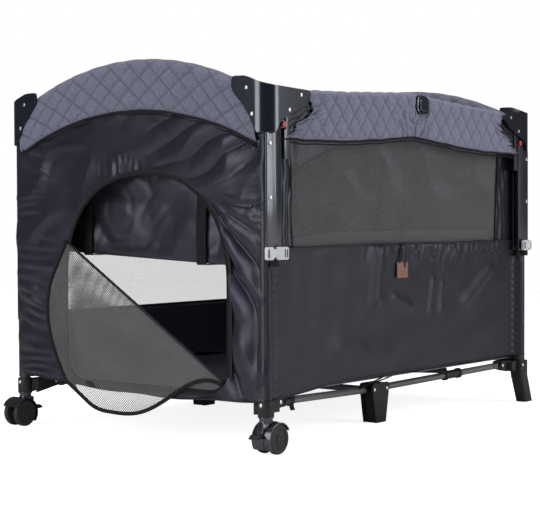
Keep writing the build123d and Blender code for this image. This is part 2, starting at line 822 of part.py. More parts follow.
with BuildPart() as door_panel:
    with BuildSketch(Plane.YZ.offset(-end_cloth_x)):
        end_outline()
        doorway(mode=Mode.SUBTRACT)
    extrude(amount=-cloth)
save(door_panel.part, "door_end_panel")

with BuildPart() as far_panel:
    with BuildSketch(Plane.YZ.offset(end_cloth_x)):
        end_outline()
    extrude(amount=cloth)
save(far_panel.part, "far_end_panel")

with BuildPart() as lower_mesh:
    with BuildSketch(Plane.YZ.offset(-end_cloth_x)):
        doorway(grow=-seam)
        fold_side(fold_up * -1, 0)
        with Locations(*net_points(net_margin, lambda d: d < -net_margin)):
            Rectangle(door_gap, door_gap, rotation=45, mode=Mode.SUBTRACT)
    extrude(amount=-cloth)
save(lower_mesh.part, "door_lower_mesh")

# Mesh door, drawn shut in the opening and then folded down over its slanted hinge line
with BuildPart() as flap:
    with BuildSketch(Plane.YZ.offset(-flap_x + flap_cloth / 2)):
        doorway(grow=-flap_inset)
        fold_side(fold_up, 1)
        with Locations(*net_points(net_margin, lambda d: d > net_margin)):
            Rectangle(door_gap, door_gap, rotation=45, mode=Mode.SUBTRACT)
    extrude(amount=-flap_cloth)
hinge_plane = Plane(origin=(0, *fold_high), x_dir=(1, 0, 0), z_dir=(0, fold_up.X, fold_up.Y))
save(mirror(flap.part, about=hinge_plane), "door_flap")


# Side cloths
def side_sheet(high):
    with BuildLine() as edge:
        Line((-side_half, high), (side_half, high))
        Line((side_half, high), (side_half, hem_post))
        sagging(side_half, hem_post, hem_post + hem_rise)
        Line((-side_half, hem_post), (-side_half, high))
    make_face(edge.edges())


def net(middle, pitch, count):
    with Locations(middle):
        with GridLocations(*pitch, *count):
            Rectangle(pitch[0] - net_strand, pitch[1] - net_strand, mode=Mode.SUBTRACT)


with BuildPart() as drop_panel:
    with BuildSketch(facing_y(side_cloth_y)):
        side_sheet(drop_panel_top)
    extrude(amount=-cloth)
save(drop_panel.part, "drop_lower_panel", side=-1)

with BuildPart() as back_panel:
    with BuildSketch(facing_y(side_cloth_y)):
        side_sheet(back_panel_top)
        net((0, 447), (40, 32), (23, 12))
    extrude(amount=-cloth)
save(back_panel.part, "back_side_panel")

# Drop side windows hang inside the sleeves, so they go down behind the lower panel
window_edge = side_half - 4.0
window_hem = drop_panel_top - 4.0
window_tuck = -45.0  # the window's top edge below the rail's axis
with BuildPart() as window:
    with BuildSketch(facing_y(window_y)):
        Polygon(
            (window_middle, window_hem),
            (window_edge, window_hem),
            (window_edge, cap_tip - 4),
            along_rail(sleeve_far, window_tuck),
            along_rail(window_middle, window_tuck),
            align=None,
        )
        net((232, 545), (28, 24), (15, 8))
    extrude(amount=-window_cloth)

for end_name, end in ends.items():
    save(window.part, f"drop_{end_name}_window", end, -1)

# Floor cloth of the play space, notched round the posts
with BuildPart() as floor_sheet:
    with BuildSketch(Plane.XY.offset(floor_cloth_z)):
        Rectangle(2 * (end_cloth_x - seam), 2 * (post_y - 16))
        Rectangle(2 * side_half, 2 * side_cloth_y)
    extrude(amount=floor_cloth)
save(floor_sheet.part, "floor_panel")

# Bassinet: a hung tray with low sides and high ends that hook onto the end bands
tray_inner_x = tray_x - tray_wall
tray_inner_y = tray_y - tray_wall
with BuildPart() as tray:
    block(-tray_x, tray_x, -tray_y, tray_y, tray_low, tray_side)
    inside = (-tray_inner_x, tray_inner_x, -tray_inner_y, tray_inner_y)
    block(*inside, tray_low + tray_wall, tray_side, mode=Mode.SUBTRACT)
    for way in (-1, 1):
        with BuildSketch(Plane.YZ.offset(way * tray_x)):
            Polygon(
                (-tray_y, tray_side),
                (tray_y, tray_side),
                (tray_y, tray_shoulder),
                (tray_hook, tray_end),
                (-tray_hook, tray_end),
                (-tray_y, tray_shoulder),
                align=None,
            )
        extrude(amount=-way * tray_wall)
        hook = sorted((way * tray_x, way * (band_inner_x - seam)))
        block(*hook, -tray_hook, tray_hook, tray_end - tray_wall, tray_end)
save(tray.part, "bassinet")

# Mattress: four crowned panels between sewn fold lines, with sides that draw in
mattress_low = tray_low + tray_wall
mattress_crest = mattress_low + mattress_thick
mattress_shoulder = mattress_crest - mattress_crown
with BuildPart() as mattress:
    with BuildSketch(Plane.XY.offset(mattress_low)) as outline:
        with BuildLine():
            waist_x = mattress_x - mattress_waist
            waist_y = mattress_y - mattress_waist
            ThreePointArc((mattress_x, -mattress_y), (waist_x, 0), (mattress_x, mattress_y))
            ThreePointArc((mattress_x, mattress_y), (0, waist_y), (-mattress_x, mattress_y))
            ThreePointArc((-mattress_x, mattress_y), (-waist_x, 0), (-mattress_x, -mattress_y))
            ThreePointArc((-mattress_x, -mattress_y), (0, -waist_y), (mattress_x, -mattress_y))
        make_face()
        fillet(outline.vertices(), radius=mattress_corner)
    extrude(amount=mattress_thick)
    with BuildSketch(facing_y(-mattress_y)):
        panel = mattress_x / 2
        with BuildLine():
            Line((-mattress_x, mattress_shoulder), (-mattress_x, mattress_low))
            Line((-mattress_x, mattress_low), (mattress_x, mattress_low))
            Line((mattress_x, mattress_low), (mattress_x, mattress_shoulder))
            for start in (-2, -1, 0, 1):
                valley = (start * panel, mattress_shoulder)
                next_valley = ((start + 1) * panel, mattress_shoulder)
                ThreePointArc(valley, ((start + 0.5) * panel, mattress_crest), next_valley)
        make_face()
    extrude(amount=-2 * mattress_y, mode=Mode.INTERSECT)
save(mattress.part, "mattress")


# Rivets, grouped by the end that they hold together
def rivets(plane, towards, *places):
    with BuildSketch(plane) as heads:
        with Locations(*places):
            Circle(rivet_diameter / 2)
    extrude(heads.sketch, amount=towards * rivet_height, taper=rivet_taper)


with BuildPart() as back_rivets:
    rivets(facing_y(cap_outer_y), -1, *cap_side_rivets)
    rivets(Plane.YZ.offset(cap_outer_x), 1, *cap_end_rivets)
with BuildPart() as drop_rivets:
    add(back_rivets.part)
    rivets(facing_y(track_front_y + rivet_seat), -1, *track_rivets)
    mirror(about=Plane.XZ, mode=Mode.REPLACE)
with BuildPart() as end_rivets:
    add(back_rivets.part)
    add(drop_rivets.part)
for end_name, end in ends.items():
    save(end_rivets.part, f"{end_name}_rivets", end)

# Buckles, each hanging in front of a track
with BuildPart() as buckle:
    with BuildSketch(facing_y(buckle_y)):
        with Locations((buckle_x, buckle_z)):
            RectangleRounded(*buckle_size, buckle_round)
        for way in (-1, 1):
            with Locations((buckle_x + buckle_notch, buckle_z + way * (buckle_size[1] / 2 + 0.5))):
                Circle(buckle_notch, mode=Mode.SUBTRACT)
    extrude(amount=-buckle_thick)
    fillet(buckle.edges().filter_by(Axis.Y, reverse=True).sort_by(Axis.Y)[-1], radius=1)
hung_buckle = buckle.part.rotate(Axis((buckle_x, buckle_y, buckle_z), (0, 0, 1)), -buckle_turn)
for end_name, end in ends.items():
    save(hung_buckle, f"{end_name}_buckle", end, -1)
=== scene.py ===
import math

import bpy
import numpy as np
from mathutils import Matrix, Vector


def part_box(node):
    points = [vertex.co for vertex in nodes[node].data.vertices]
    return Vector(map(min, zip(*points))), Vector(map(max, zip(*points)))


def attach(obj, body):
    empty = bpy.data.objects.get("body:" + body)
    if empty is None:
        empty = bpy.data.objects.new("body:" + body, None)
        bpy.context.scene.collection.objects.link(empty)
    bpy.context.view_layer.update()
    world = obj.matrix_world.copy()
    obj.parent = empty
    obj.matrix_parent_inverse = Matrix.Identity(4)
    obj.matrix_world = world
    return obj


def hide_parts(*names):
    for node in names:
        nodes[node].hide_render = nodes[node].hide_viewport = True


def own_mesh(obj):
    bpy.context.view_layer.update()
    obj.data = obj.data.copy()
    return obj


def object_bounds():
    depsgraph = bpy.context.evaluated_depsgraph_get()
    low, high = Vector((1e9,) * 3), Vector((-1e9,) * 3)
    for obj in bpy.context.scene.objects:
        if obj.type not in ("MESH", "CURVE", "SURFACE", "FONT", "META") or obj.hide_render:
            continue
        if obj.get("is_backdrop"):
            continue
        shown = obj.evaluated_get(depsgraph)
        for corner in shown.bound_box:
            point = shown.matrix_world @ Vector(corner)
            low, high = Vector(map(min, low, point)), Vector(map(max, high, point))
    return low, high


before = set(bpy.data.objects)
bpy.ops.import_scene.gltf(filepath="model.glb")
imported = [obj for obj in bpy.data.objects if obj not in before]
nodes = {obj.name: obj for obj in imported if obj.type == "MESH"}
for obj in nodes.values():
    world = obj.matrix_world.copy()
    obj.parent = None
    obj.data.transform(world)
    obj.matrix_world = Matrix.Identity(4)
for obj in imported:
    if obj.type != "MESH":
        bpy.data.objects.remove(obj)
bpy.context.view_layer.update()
mm = 0.001
edgeAngle = math.radians(35)  # flatter edges are shaded smooth
cordSteps = 3
print("frame loaded:", len(nodes), "nodes")


def boxMiddle(node):
    low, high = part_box(node)
    return (low + high) / 2


postMid = boxMiddle("far_back_post")
postX, postY = postMid.x, postMid.y  # post axes, from the middle of the part
bothEnds = (("door", -1), ("far", 1))
bothSides = (("drop", -1), ("back", 1))


# Modelling helpers
def clearSelection():
    if bpy.context.object and bpy.context.object.mode != "OBJECT":
        bpy.ops.object.mode_set(mode="OBJECT")
    bpy.ops.object.select_all(action="DESELECT")


def activate(obj):
    clearSelection()
    obj.select_set(True)
    bpy.context.view_layer.objects.active = obj
    return obj


def applyModifier(obj, kind, **settings):
    activate(obj)
    made = obj.modifiers.new(kind, kind)
    for key, value in settings.items():
        setattr(made, key, value)
    bpy.ops.object.modifier_apply(modifier=made.name)


def softenEdges(obj, width, segments=2):
    applyModifier(obj, "BEVEL", width=width, segments=segments, limit_method="ANGLE")


def addObject(name, data):
    obj = bpy.data.objects.new(name, data)
    bpy.context.scene.collection.objects.link(obj)
    return obj


def editMesh(obj, *steps):
    # runs operators, with their settings, on the whole of a piece
    activate(obj)
    bpy.ops.object.mode_set(mode="EDIT")
    bpy.ops.mesh.select_all(action="SELECT")
    for step, settings in steps:
        step(**settings)
    bpy.ops.object.mode_set(mode="OBJECT")


def closeMesh(obj, gap=0.05 * mm):
    # merges points that lie together and turns the faces outwards
    mesh = bpy.ops.mesh
    editMesh(obj, (mesh.remove_doubles, {"threshold": gap}),
             (mesh.normals_make_consistent, {"inside": False}))


def readPoints(obj):
    flat = np.zeros(len(obj.data.vertices) * 3)
    obj.data.vertices.foreach_get("co", flat)
    return flat.reshape(-1, 3)


def writePoints(obj, points):
    obj.data.vertices.foreach_set("co", np.asarray(points, np.float32).ravel())
    obj.data.update()


def removePoints(obj, chosen):
    activate(obj)
    bpy.ops.object.mode_set(mode="EDIT")
    bpy.ops.mesh.select_mode(type="VERT")
    bpy.ops.mesh.select_all(action="DESELECT")
    bpy.ops.object.mode_set(mode="OBJECT")
    obj.data.vertices.foreach_set("select", chosen)
    bpy.ops.object.mode_set(mode="EDIT")
    bpy.ops.mesh.delete(type="VERT")
    bpy.ops.object.mode_set(mode="OBJECT")


def markPoints(obj, name, values):
    # a number per point, which a material can read
    layer = obj.data.attributes.new(name, "FLOAT", "POINT")
    layer.data.foreach_set("value", np.asarray(values, np.float32))


def gridSheet(name, columns, rows, place):
    # a flat grid whose points go where place(u, v) says; a fourth value, painted shade, is kept for the
    # material
    clearSelection()
    bpy.ops.mesh.primitive_grid_add(x_subdivisions=columns, y_subdivisions=rows, size=2)
    obj = bpy.context.object
    obj.name = obj.data.name = name
    start = readPoints(obj)
    u, v = (start[:, 0] + 1) / 2, (start[:, 1] + 1) / 2
    x, y, z, *dip = np.broadcast_arrays(*place(u, v))
    writePoints(obj, np.stack((x, y, z), 1))
    if dip:
        markPoints(obj, "dip", dip[0])
    bpy.ops.object.shade_smooth()
    return obj


def markInner(obj, axis):
    # after thickening: tells a material which side faces into the playpen, so that side can take painted
    # light
    spots = np.abs(readPoints(obj)[:, axis])
    half = len(spots) // 2
    first = np.arange(len(spots)) < half
    markPoints(obj, "inner", first if spots[:half].mean() < spots[half:].mean() else ~first)


def thicken(obj, thickness, offset=0.0):
    applyModifier(obj, "SOLIDIFY", thickness=thickness, offset=offset, use_even_offset=False)


def pipe(name, points, radius, closed):
    # a round cord or tube along points
    line = bpy.data.curves.new(name, "CURVE")
    line.dimensions = "3D"
    spline = line.splines.new("POLY")
    spline.points.add(len(points) - 1)
    flat = np.ones((len(points), 4))
    flat[:, :3] = points
    spline.points.foreach_set("co", flat.ravel())
    spline.use_cyclic_u = closed
    line.bevel_depth = radius
    line.bevel_resolution = cordSteps
    line.use_fill_caps = not closed
    activate(addObject(name, line))
    bpy.ops.object.convert(target="MESH")
    obj = bpy.context.object
    bpy.ops.object.shade_smooth()
    closeMesh(obj)
    return obj


def ribbon(name, path, side, width, thickness, steps):
    # flat webbing along path(t), lying across the side direction
    side = np.array(side, float) / np.linalg.norm(side)
    t = np.linspace(0, 1, steps + 1)
    spine = np.stack(np.broadcast_arrays(*path(t)), 1)

    def place(u, v):
        index = np.clip(np.rint(u * steps).astype(int), 0, steps)
        spread = (v - 0.5) * width
        middle = spine[index]
        return tuple(middle[:, k] + spread * side[k] for k in range(3))

    obj = gridSheet(name, steps, 4, place)
    thicken(obj, thickness)
    softenEdges(obj, thickness * 0.3)
    bpy.ops.object.shade_smooth()
    return obj


def lathe(name, profile, centre, axis, steps=64):
    # turns a profile of (along, radius) pairs about an axis through centre
    profile = np.array(profile, float)
    axis = np.array(axis, float)
    across = np.array([0, 0, 1.0]) if abs(axis[2]) < 0.5 else np.array([1.0, 0, 0])
    third = np.cross(axis, across)
    count = len(profile) - 1

    def place(u, v):
        index = np.clip(np.rint(v * count).astype(int), 0, count)
        along, radius = profile[index, 0], profile[index, 1]
        angle = u * 2 * math.pi
        return tuple(
            centre[k] + along * axis[k] + radius * (np.cos(angle) * across[k] + np.sin(angle) * third[k])
            for k in range(3)
        )

    obj = gridSheet(name, steps, count, place)
    closeMesh(obj)
    activate(obj)
    bpy.ops.object.shade_smooth_by_angle(angle=edgeAngle)
    return obj


def joinPieces(name, pieces):
    clearSelection()
    for piece in pieces:
        piece.select_set(True)
    bpy.context.view_layer.objects.active = pieces[0]
    if len(pieces) > 1:
        bpy.ops.object.join()
    obj = bpy.context.object
    obj.name = obj.data.name = name
    return obj


def roundedCopy(node, width):
    # a merged copy of a CAD node with its edges rounded like a moulding
    obj = addObject(f"{node}_moulded", nodes[node].data.copy())
    obj.data.materials.clear()
    mesh = bpy.ops.mesh
    editMesh(obj, (mesh.customdata_custom_splitnormals_clear, {}),
             (mesh.remove_doubles, {"threshold": 0.02 * mm}),
             (mesh.dissolve_limited, {"angle_limit": math.radians(1)}))
    applyModifier(obj, "BEVEL", width=width, segments=2, limit_method="ANGLE",
                  angle_limit=edgeAngle, use_clamp_overlap=True, harden_normals=False)
    activate(obj)
    bpy.ops.object.shade_smooth_by_angle(angle=edgeAngle)
    return obj


stitch = {"pitch": 5.0 * mm, "length": 3.2 * mm, "radius": 0.45 * mm}


def stitchRow(name, points, facing, pitch=stitch["pitch"], radius=stitch["radius"]):
    # a row of short threads along points, laid on the surface that faces that way
    length = stitch["length"]
    clearSelection()
    bpy.ops.mesh.primitive_cylinder_add(vertices=6, radius=radius, depth=length, location=(0, 0, 0))
    thread = bpy.context.object
    softenEdges(thread, radius * 0.5, 1)
    shape = readPoints(thread)
    faces = [list(face.vertices) for face in thread.data.polygons]
    bpy.data.objects.remove(thread)
    points = np.asarray(points, float)
    hops = np.linalg.norm(np.diff(points, axis=0), axis=1)
    run = np.concatenate(([0], np.cumsum(hops)))
    facing = np.array(facing, float)
    allPoints, allFaces = [], []
    for at in np.arange(pitch / 2, run[-1], pitch):
        middle = np.array([np.interp(at, run, points[:, k]) for k in range(3)])
        ahead = np.array([np.interp(at + length, run, points[:, k]) for k in range(3)])
        behind = np.array([np.interp(at - length, run, points[:, k]) for k in range(3)])
        along = (ahead - behind) / max(np.linalg.norm(ahead - behind), 1e-9)
        over = np.cross(facing, along)
        base = len(allPoints) * len(shape)
        allPoints.append(middle + shape @ np.stack((over, facing, along)))
        allFaces += [[base + k for k in face] for face in faces]
    mesh = bpy.data.meshes.new(name)
    mesh.from_pydata(np.concatenate(allPoints).tolist(), [], allFaces)
    obj = addObject(name, mesh)
    closeMesh(obj)
    bpy.ops.object.shade_smooth()
    return obj


def waves(a, b, size, seed, count=6):
    # smooth made-up unevenness of about that wavelength, the same on each run
    draw = np.random.default_rng(seed)
    total = 0.0
    for _ in range(count):
        turn, phase = draw.uniform(0, 2 * math.pi, 2)
        rate = 2 * math.pi / (size * draw.uniform(0.7, 1.5))
        total = total + np.sin(rate * (a * math.cos(turn) + b * math.sin(turn)) + phase)
    return total / math.sqrt(count / 2) / 2


def billow(a, b, layers):
    # layers of unevenness: height, wavelength and seed
    return sum(height * waves(a, b, size, seed) for height, size, seed in layers)


def ease(x):
    x = np.clip(x, 0, 1)
    return x * x * (3 - 2 * x)


def bell(x, middle, width):
    return np.exp(-(((x - middle) / width) ** 2))


def ridges(phase):
    # rounded folds with sharp valleys between them
    return np.abs(np.sin(phase)) ** 0.75 - 0.5


def crumpled(a, b, size, seed):
    # sharp creases that wander, as in cloth that was packed away
    return 0.5 - np.minimum(np.abs(waves(a, b, size, seed)) * 1.7, 1)


def softly(at, stops, soft, count=9):
    # a curve through stops, with its corners rounded over that distance
    return sum(np.interp(at + shift, *zip(*stops)) for shift in np.linspace(-soft, soft, count)) / count


def rimLine(place, v, steps, first=0.0, last=1.0):
    # points along one edge of a sheet
    u = np.linspace(first, last, steps)
    return np.stack(place(u, np.full_like(u, v)), 1)


def wear(obj, look, body, slot, *stoodFor):
    # dresses a finished piece and hangs it on its body
    obj.data.materials.clear()
    obj.data.materials.append(look)
    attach(obj, body)
    if stoodFor:
        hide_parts(*stoodFor)
    return obj


def trim(name, points, radius, look, body, slot="satin_fabric", closed=False):
    # piping, a zip or a hem along points
    return wear(pipe(name, points, radius, closed), look, body, slot)


def sewSheet(name, grid, place, thickness, look, body, *stoodFor, slot="satin_fabric", merged=False, **soft):
    obj = gridSheet(name, *grid, place)
    if merged:
        closeMesh(obj)
    thicken(obj, thickness)
    wear(obj, look, body, slot, *stoodFor)
    return obj


# Shader helpers
class Wire:
    # one node output; sums and products of wires add Math nodes
    def __init__(self, look, socket):
        self.look, self.socket = look, socket

    def join(self, operation, first, second):
        return self.look.node("ShaderNodeMath", {"operation": operation}, {0: first, 1: second})

    def __add__(self, other):
        return self.join("ADD", self, other)

    def __sub__(self, other):
        return self.join("SUBTRACT", self, other)

    def __rsub__(self, other):
        return self.join("SUBTRACT", other, self)

    def __mul__(self, other):
        return self.join("MULTIPLY", self, other)

    __radd__ = __add__
    __rmul__ = __mul__


class Look:
    def __init__(self, name, **fixed):
        self.material = bpy.data.materials.new(name)
        self.material.use_nodes = True
        self.tree = self.material.node_tree
        self.surface = self.tree.nodes["Principled BSDF"]
        for key, value in fixed.items():
            self.plug(self.surface.inputs[key.replace("_", " ")], value)

    def plug(self, target, value):
        if isinstance(value, Wire):
            self.tree.links.new(value.socket, target)
        else:
            target.default_value = value

    def node(self, kind, settings, sockets, out=0):
        made = self.tree.nodes.new(kind)
        for key, value in settings.items():
            if key == "stops":
                ramp = made.color_ramp.elements
                while len(ramp) < len(value):
                    ramp.new(0.5)
                for stop, (at, level) in zip(ramp, value):
                    stop.position = at
                    stop.color = (level, level, level, 1)
            else:
                setattr(made, key, value)
        for key, value in sockets.items():
            self.plug(made.inputs[key], value)
        return Wire(self, made.outputs[out]) if made.outputs else None

    def place(self):
        return self.node("ShaderNodeTexCoord", {}, {}, "Object")

    def noise(self, scale, detail=3.0, rough=0.55, where=None):
        spot = self.place() if where is None else where
        return self.node("ShaderNodeTexNoise", {},
                         {"Vector": spot, "Scale": scale, "Detail": detail, "Roughness": rough})

    def stretched(self, sizes):
        return self.node("ShaderNodeMapping", {}, {"Vector": self.place(), "Scale": sizes})

    def ramp(self, factor, *stops):
        return self.node("ShaderNodeValToRGB", {"stops": stops}, {"Fac": factor})

    def mark(self, name):
        return self.node("ShaderNodeAttribute", {"attribute_name": name}, {}, "Fac")

    def blendColour(self, factor, first, second):
        made = self.node("ShaderNodeMix", {"data_type": "RGBA"}, {0: factor}, 2)
        owner = made.socket.node
        self.plug(owner.inputs[6], first)
        self.plug(owner.inputs[7], second)
        return made

    def tones(self, factor, colour, low, high):
        # from a darker to a lighter shade of one colour
        return self.blendColour(factor, shade(colour, low), shade(colour, high))

    def bump(self, height, distance, strength):
        relief = self.node("ShaderNodeBump", {},
                           {"Height": height, "Distance": distance, "Strength": strength})
        self.plug(self.surface.inputs["Normal"], relief)

    def feed(self, **values):
        for key, value in values.items():
            self.plug(self.surface.inputs[key.replace("_", " ")], value)
        return self.material


class Backdrop(Look):
    # nodes of the world or the floor, from nothing
    def __init__(self, owner):
        owner.use_nodes = True
        self.tree = owner.node_tree
        self.tree.nodes.clear()

    def ray(self, kind):
        return self.node("ShaderNodeLightPath", {}, {}, kind)


def shade(colour, factor):
    return (colour[0] * factor, colour[1] * factor, colour[2] * factor, 1.0)


# Finishes
quiltLook = {"colour": (0.172, 0.175, 0.242), "seam": 0.55, "melange": 330.0}
satinLook = {"colour": (0.0165, 0.0165, 0.0255), "weave": 1400.0, "insideLight": 22.0}
meshLook = {"colour": (0.2, 0.201, 0.203), "pitch": 4.2 * mm, "hole": 0.43}


def makeQuilt(name, gain):
    # heathered cloth: two grey yarns, with painted shade darkening the valleys where the quilting stitches
    # pull it in
    look = Look(name, Sheen_Weight=0.08, Specular_IOR_Level=0.25)
    yarn = look.noise(quiltLook["melange"], 2.0, 0.7)
    streak = look.noise(1.0, 2.0, 0.6, look.stretched((150.0, 150.0, 420.0)))
    cloud = look.noise(9.0, 2.0)
    dip = look.mark("dip")
    tone = look.ramp(yarn * 0.6 + streak * 0.4, (0.36, 0.3), (0.64, 1.0))
    colour = shade(quiltLook["colour"], gain)
    base = look.tones(tone, colour, 0.42, 1.3)
    worn = look.blendColour(cloud * 0.35, base, shade(colour, 0.86))
    seamShaded = look.blendColour(dip * quiltLook["seam"], worn, shade(colour, 0.34))
    look.bump(yarn + streak, 0.35 * mm, 0.6)
    return look.feed(Base_Color=seamShaded, Roughness=yarn * 0.12 + 0.78)


def makeSatin(name, colour, gloss):
    # tight polyester weave with a soft shine
    # painted light: the bluish specular tint colours every reflection on the satin, standing in for the
    # lamps' colour
    look = Look(name, Sheen_Weight=0.02, Specular_IOR_Level=0.5, Specular_Tint=(0.78, 0.8, 1, 1))
    weave = look.noise(1.0, 1.0, 0.5, look.stretched((satinLook["weave"], satinLook["weave"], 300.0)))
    cloud = look.noise(6.0, 3.0)
    crease = look.noise(42.0, 4.0, 0.6)
    base = look.tones(cloud, colour, 0.84, 1.16)
    thread = look.blendColour(weave * 0.35, base, shade(colour, 0.72))
    # painted light: the side facing into the playpen is painted many times lighter, standing in for light
    # that reaches inside
    litInside = look.blendColour(look.mark("inner"), thread, shade(colour, satinLook["insideLight"]))
    look.bump(crease * 0.8 + weave * 0.2, 0.7 * mm, 0.45)
    return look.feed(Base_Color=litInside, Roughness=crease * 0.14 + gloss)


def makeMesh(name, across, colour=meshLook["colour"], hole=meshLook["hole"]):
    # knitted net: round holes on a slanted grid, seen through by Alpha
    look = Look(name, Specular_IOR_Level=0.2, Roughness=0.8)
    parts = look.node("ShaderNodeSeparateXYZ", {}, {"Vector": look.place()})
    split = parts.socket.node.outputs
    along, up = Wire(look, split[across]), Wire(look, split[2])
    rate = 1.0 / meshLook["pitch"] / math.sqrt(2)
    spot = look.node("ShaderNodeCombineXYZ", {}, {0: (along + up) * rate, 1: (along - up) * rate})
    cell = look.node("ShaderNodeTexVoronoi", {"voronoi_dimensions": "2D"},
                     {"Vector": spot, "Scale": 1.0, "Randomness": 0.0})
    thread = look.ramp(cell, (hole - 0.06, 0.0), (hole + 0.06, 1.0))
    cloud = look.noise(14.0, 2.0)
    base = look.tones(cloud, colour, 0.85, 1.15)
    return look.feed(Base_Color=base, Alpha=thread * 0.94 + 0.03)


def makeWebbing(name, colour, ribs):
    look = Look(name, Specular_IOR_Level=0.3)
    rib = look.node("ShaderNodeTexWave", {"bands_direction": "Z"},
                    {"Vector": look.place(), "Scale": ribs, "Distortion": 0.6, "Detail": 1.0})
    fuzz = look.noise(700.0)
    base = look.tones(rib * 0.5 + fuzz * 0.4, colour, 0.6, 1.25)
    look.bump(rib + fuzz * 0.4, 0.4 * mm, 0.6)
    return look.feed(Base_Color=base, Roughness=fuzz * 0.2 + 0.62)


def makeGloss(name, colour, rough=0.13):
    # polished moulding: faint flow in the surface, fine rubbed marks
    # painted light: the bluish specular tint colours every reflection on the moulding, standing in for the
    # lamps' colour
    look = Look(name, Coat_Roughness=0.14, Specular_IOR_Level=1.0, Specular_Tint=(0.82, 0.88, 1, 1))
    flow = look.noise(11.0, 2.0)
    rub = look.noise(1.0, 3.0, 0.6, look.stretched((60.0, 60.0, 420.0)))
    base = look.tones(flow, colour, 0.85, 1.2)
    look.bump(flow, 0.25 * mm, 0.25)
    return look.feed(Base_Color=base, Roughness=rub * 0.1 + rough, Coat_Weight=flow * 0.3 + 0.3)


def makeGrained(name, colour, rough=0.52, grain=620.0):
    # moulding with a fine spark-eroded grain
    look = Look(name, Specular_IOR_Level=0.38)
    speck = look.noise(grain, 2.0, 0.6)
    cloud = look.noise(16.0, 3.0)
    base = look.tones(cloud, colour, 0.82, 1.22)
    look.bump(speck, 0.18 * mm, 0.55)
    return look.feed(Base_Color=base, Roughness=speck * 0.14 + cloud * 0.08 + rough - 0.1)


def makePaint(name, colour, rough=0.34):
    # powder coat over steel tube: orange peel and a little wear
    look = Look(name, Specular_IOR_Level=0.5)
    peel = look.noise(340.0, 2.0)
    scuff = look.ramp(look.noise(24.0, 5.0, 0.65), (0.62, 0.0), (0.78, 1.0))
    base = look.tones(scuff * 0.35, colour, 1.0, 1.7)
    look.bump(peel, 0.15 * mm, 0.35)
    return look.feed(Base_Color=base, Roughness=peel * 0.16 + rough - 0.06)


def makeSteel(name):
    look = Look(name, Metallic=1.0)
    brush = look.noise(1.0, 2.0, 0.6, look.stretched((900.0, 900.0, 140.0)))
    base = look.blendColour(brush, (0.62, 0.63, 0.65, 1), (0.86, 0.86, 0.88, 1))
    look.bump(brush, 0.05 * mm, 0.3)
    return look.feed(Base_Color=base, Roughness=brush * 0.18 + 0.2)


def makeHide(name, colour):
    look = Look(name, Specular_IOR_Level=0.35)
    cells = look.node("ShaderNodeTexVoronoi", {}, {"Vector": look.place(), "Scale": 620.0})
    cloud = look.noise(60.0, 3.0)
    base = look.tones(cloud, colour, 0.8, 1.18)
    look.bump(cells, 0.25 * mm, 0.5)
    return look.feed(Base_Color=base, Roughness=cells * 0.2 + 0.5)


quiltCloth = makeQuilt("quiltedHeather", 1.0)
# painted light: the sleeves use the same quilt painted 1.3 times lighter, for the top light they catch
quiltSleeveLit = makeQuilt("quiltedSleeveLit", 1.3)
satinEnd = makeSatin("charcoalSatin", satinLook["colour"], 0.27)
satinSide = makeSatin("charcoalSatinSide", (0.013, 0.013, 0.0165), 0.36)
satinBlack = makeSatin("blackSatin", (0.012, 0.012, 0.015), 0.36)
satinTray = makeSatin("traySatin", (0.026, 0.026, 0.036), 0.3)
trayPale = makeSatin("paleTray", (0.1, 0.1, 0.105), 0.5)
bindingCloth = makeWebbing("blackBinding", (0.014, 0.014, 0.017), 900.0)
webbingCloth = makeWebbing("blackWebbing", (0.011, 0.011, 0.013), 520.0)
meshAcross = makeMesh("netAcross", 1)  # nets on the ends
meshAlong = makeMesh("netAlong", 0)  # nets on the long sides
meshBack = makeMesh("netBack", 0, (0.5, 0.5, 0.51), 0.5)
padCloth = makeSatin("mattressCloth", (0.2, 0.2, 0.215), 0.62)
capGloss = makeGloss("capGloss", (0.006, 0.007, 0.014), 0.17)
trackGloss = makeGloss("trackGloss", (0.009, 0.01, 0.017), 0.2)
# painted shade: a darker copy of the track finish, for the far track and both sliders, where they lie in
# shade
trackShaded = makeGloss("trackShaded", (0.005, 0.005, 0.007), 0.3)
casterGloss = makeGloss("casterGloss", (0.014, 0.014, 0.017), 0.2)
grainedBlack = makeGrained("grainedBlack", (0.02, 0.02, 0.022))
treadBlack = makeGrained("treadBlack", (0.03, 0.03, 0.033), 0.56, 380.0)
buckleWhite = makeGrained("paleBuckle", (0.74, 0.76, 0.78), 0.46, 500.0)
releaseRed = makeGloss("releaseRed", (0.6, 0.045, 0.04), 0.22)
tubeGrey = makePaint("greyTube", (0.155, 0.157, 0.162))
tubeBlack = makePaint("blackTube", (0.03, 0.03, 0.034))
rivetSteel = makeSteel("rivetSteel")
tagHide = makeHide("brownHide", (0.285, 0.142, 0.118))
stitchThread = makeWebbing("stitchThread", (0.12, 0.118, 0.14), 1200.0)
print("finishes made:", len(bpy.data.materials))


# Quilting: sewn diamonds, measured along the cover and up its face
diamond = {"wide": 61 * mm, "tall": 48 * mm, "puff": 4.6 * mm, "stitch": 0.16}


def quilting(along, up, wide=diamond["wide"], tall=diamond["tall"]):
    first = np.abs(np.sin(math.pi * (along / wide + up / tall)))
    second = np.abs(np.sin(math.pi * (along / wide - up / tall)))
    puff = (first * second) ** 0.45 * diamond["puff"]
    # painted shade: how far each point lies in a stitched valley
    dip = np.exp(-np.minimum(first, second) ** 2 / diamond["stitch"] ** 2)
    return puff, dip


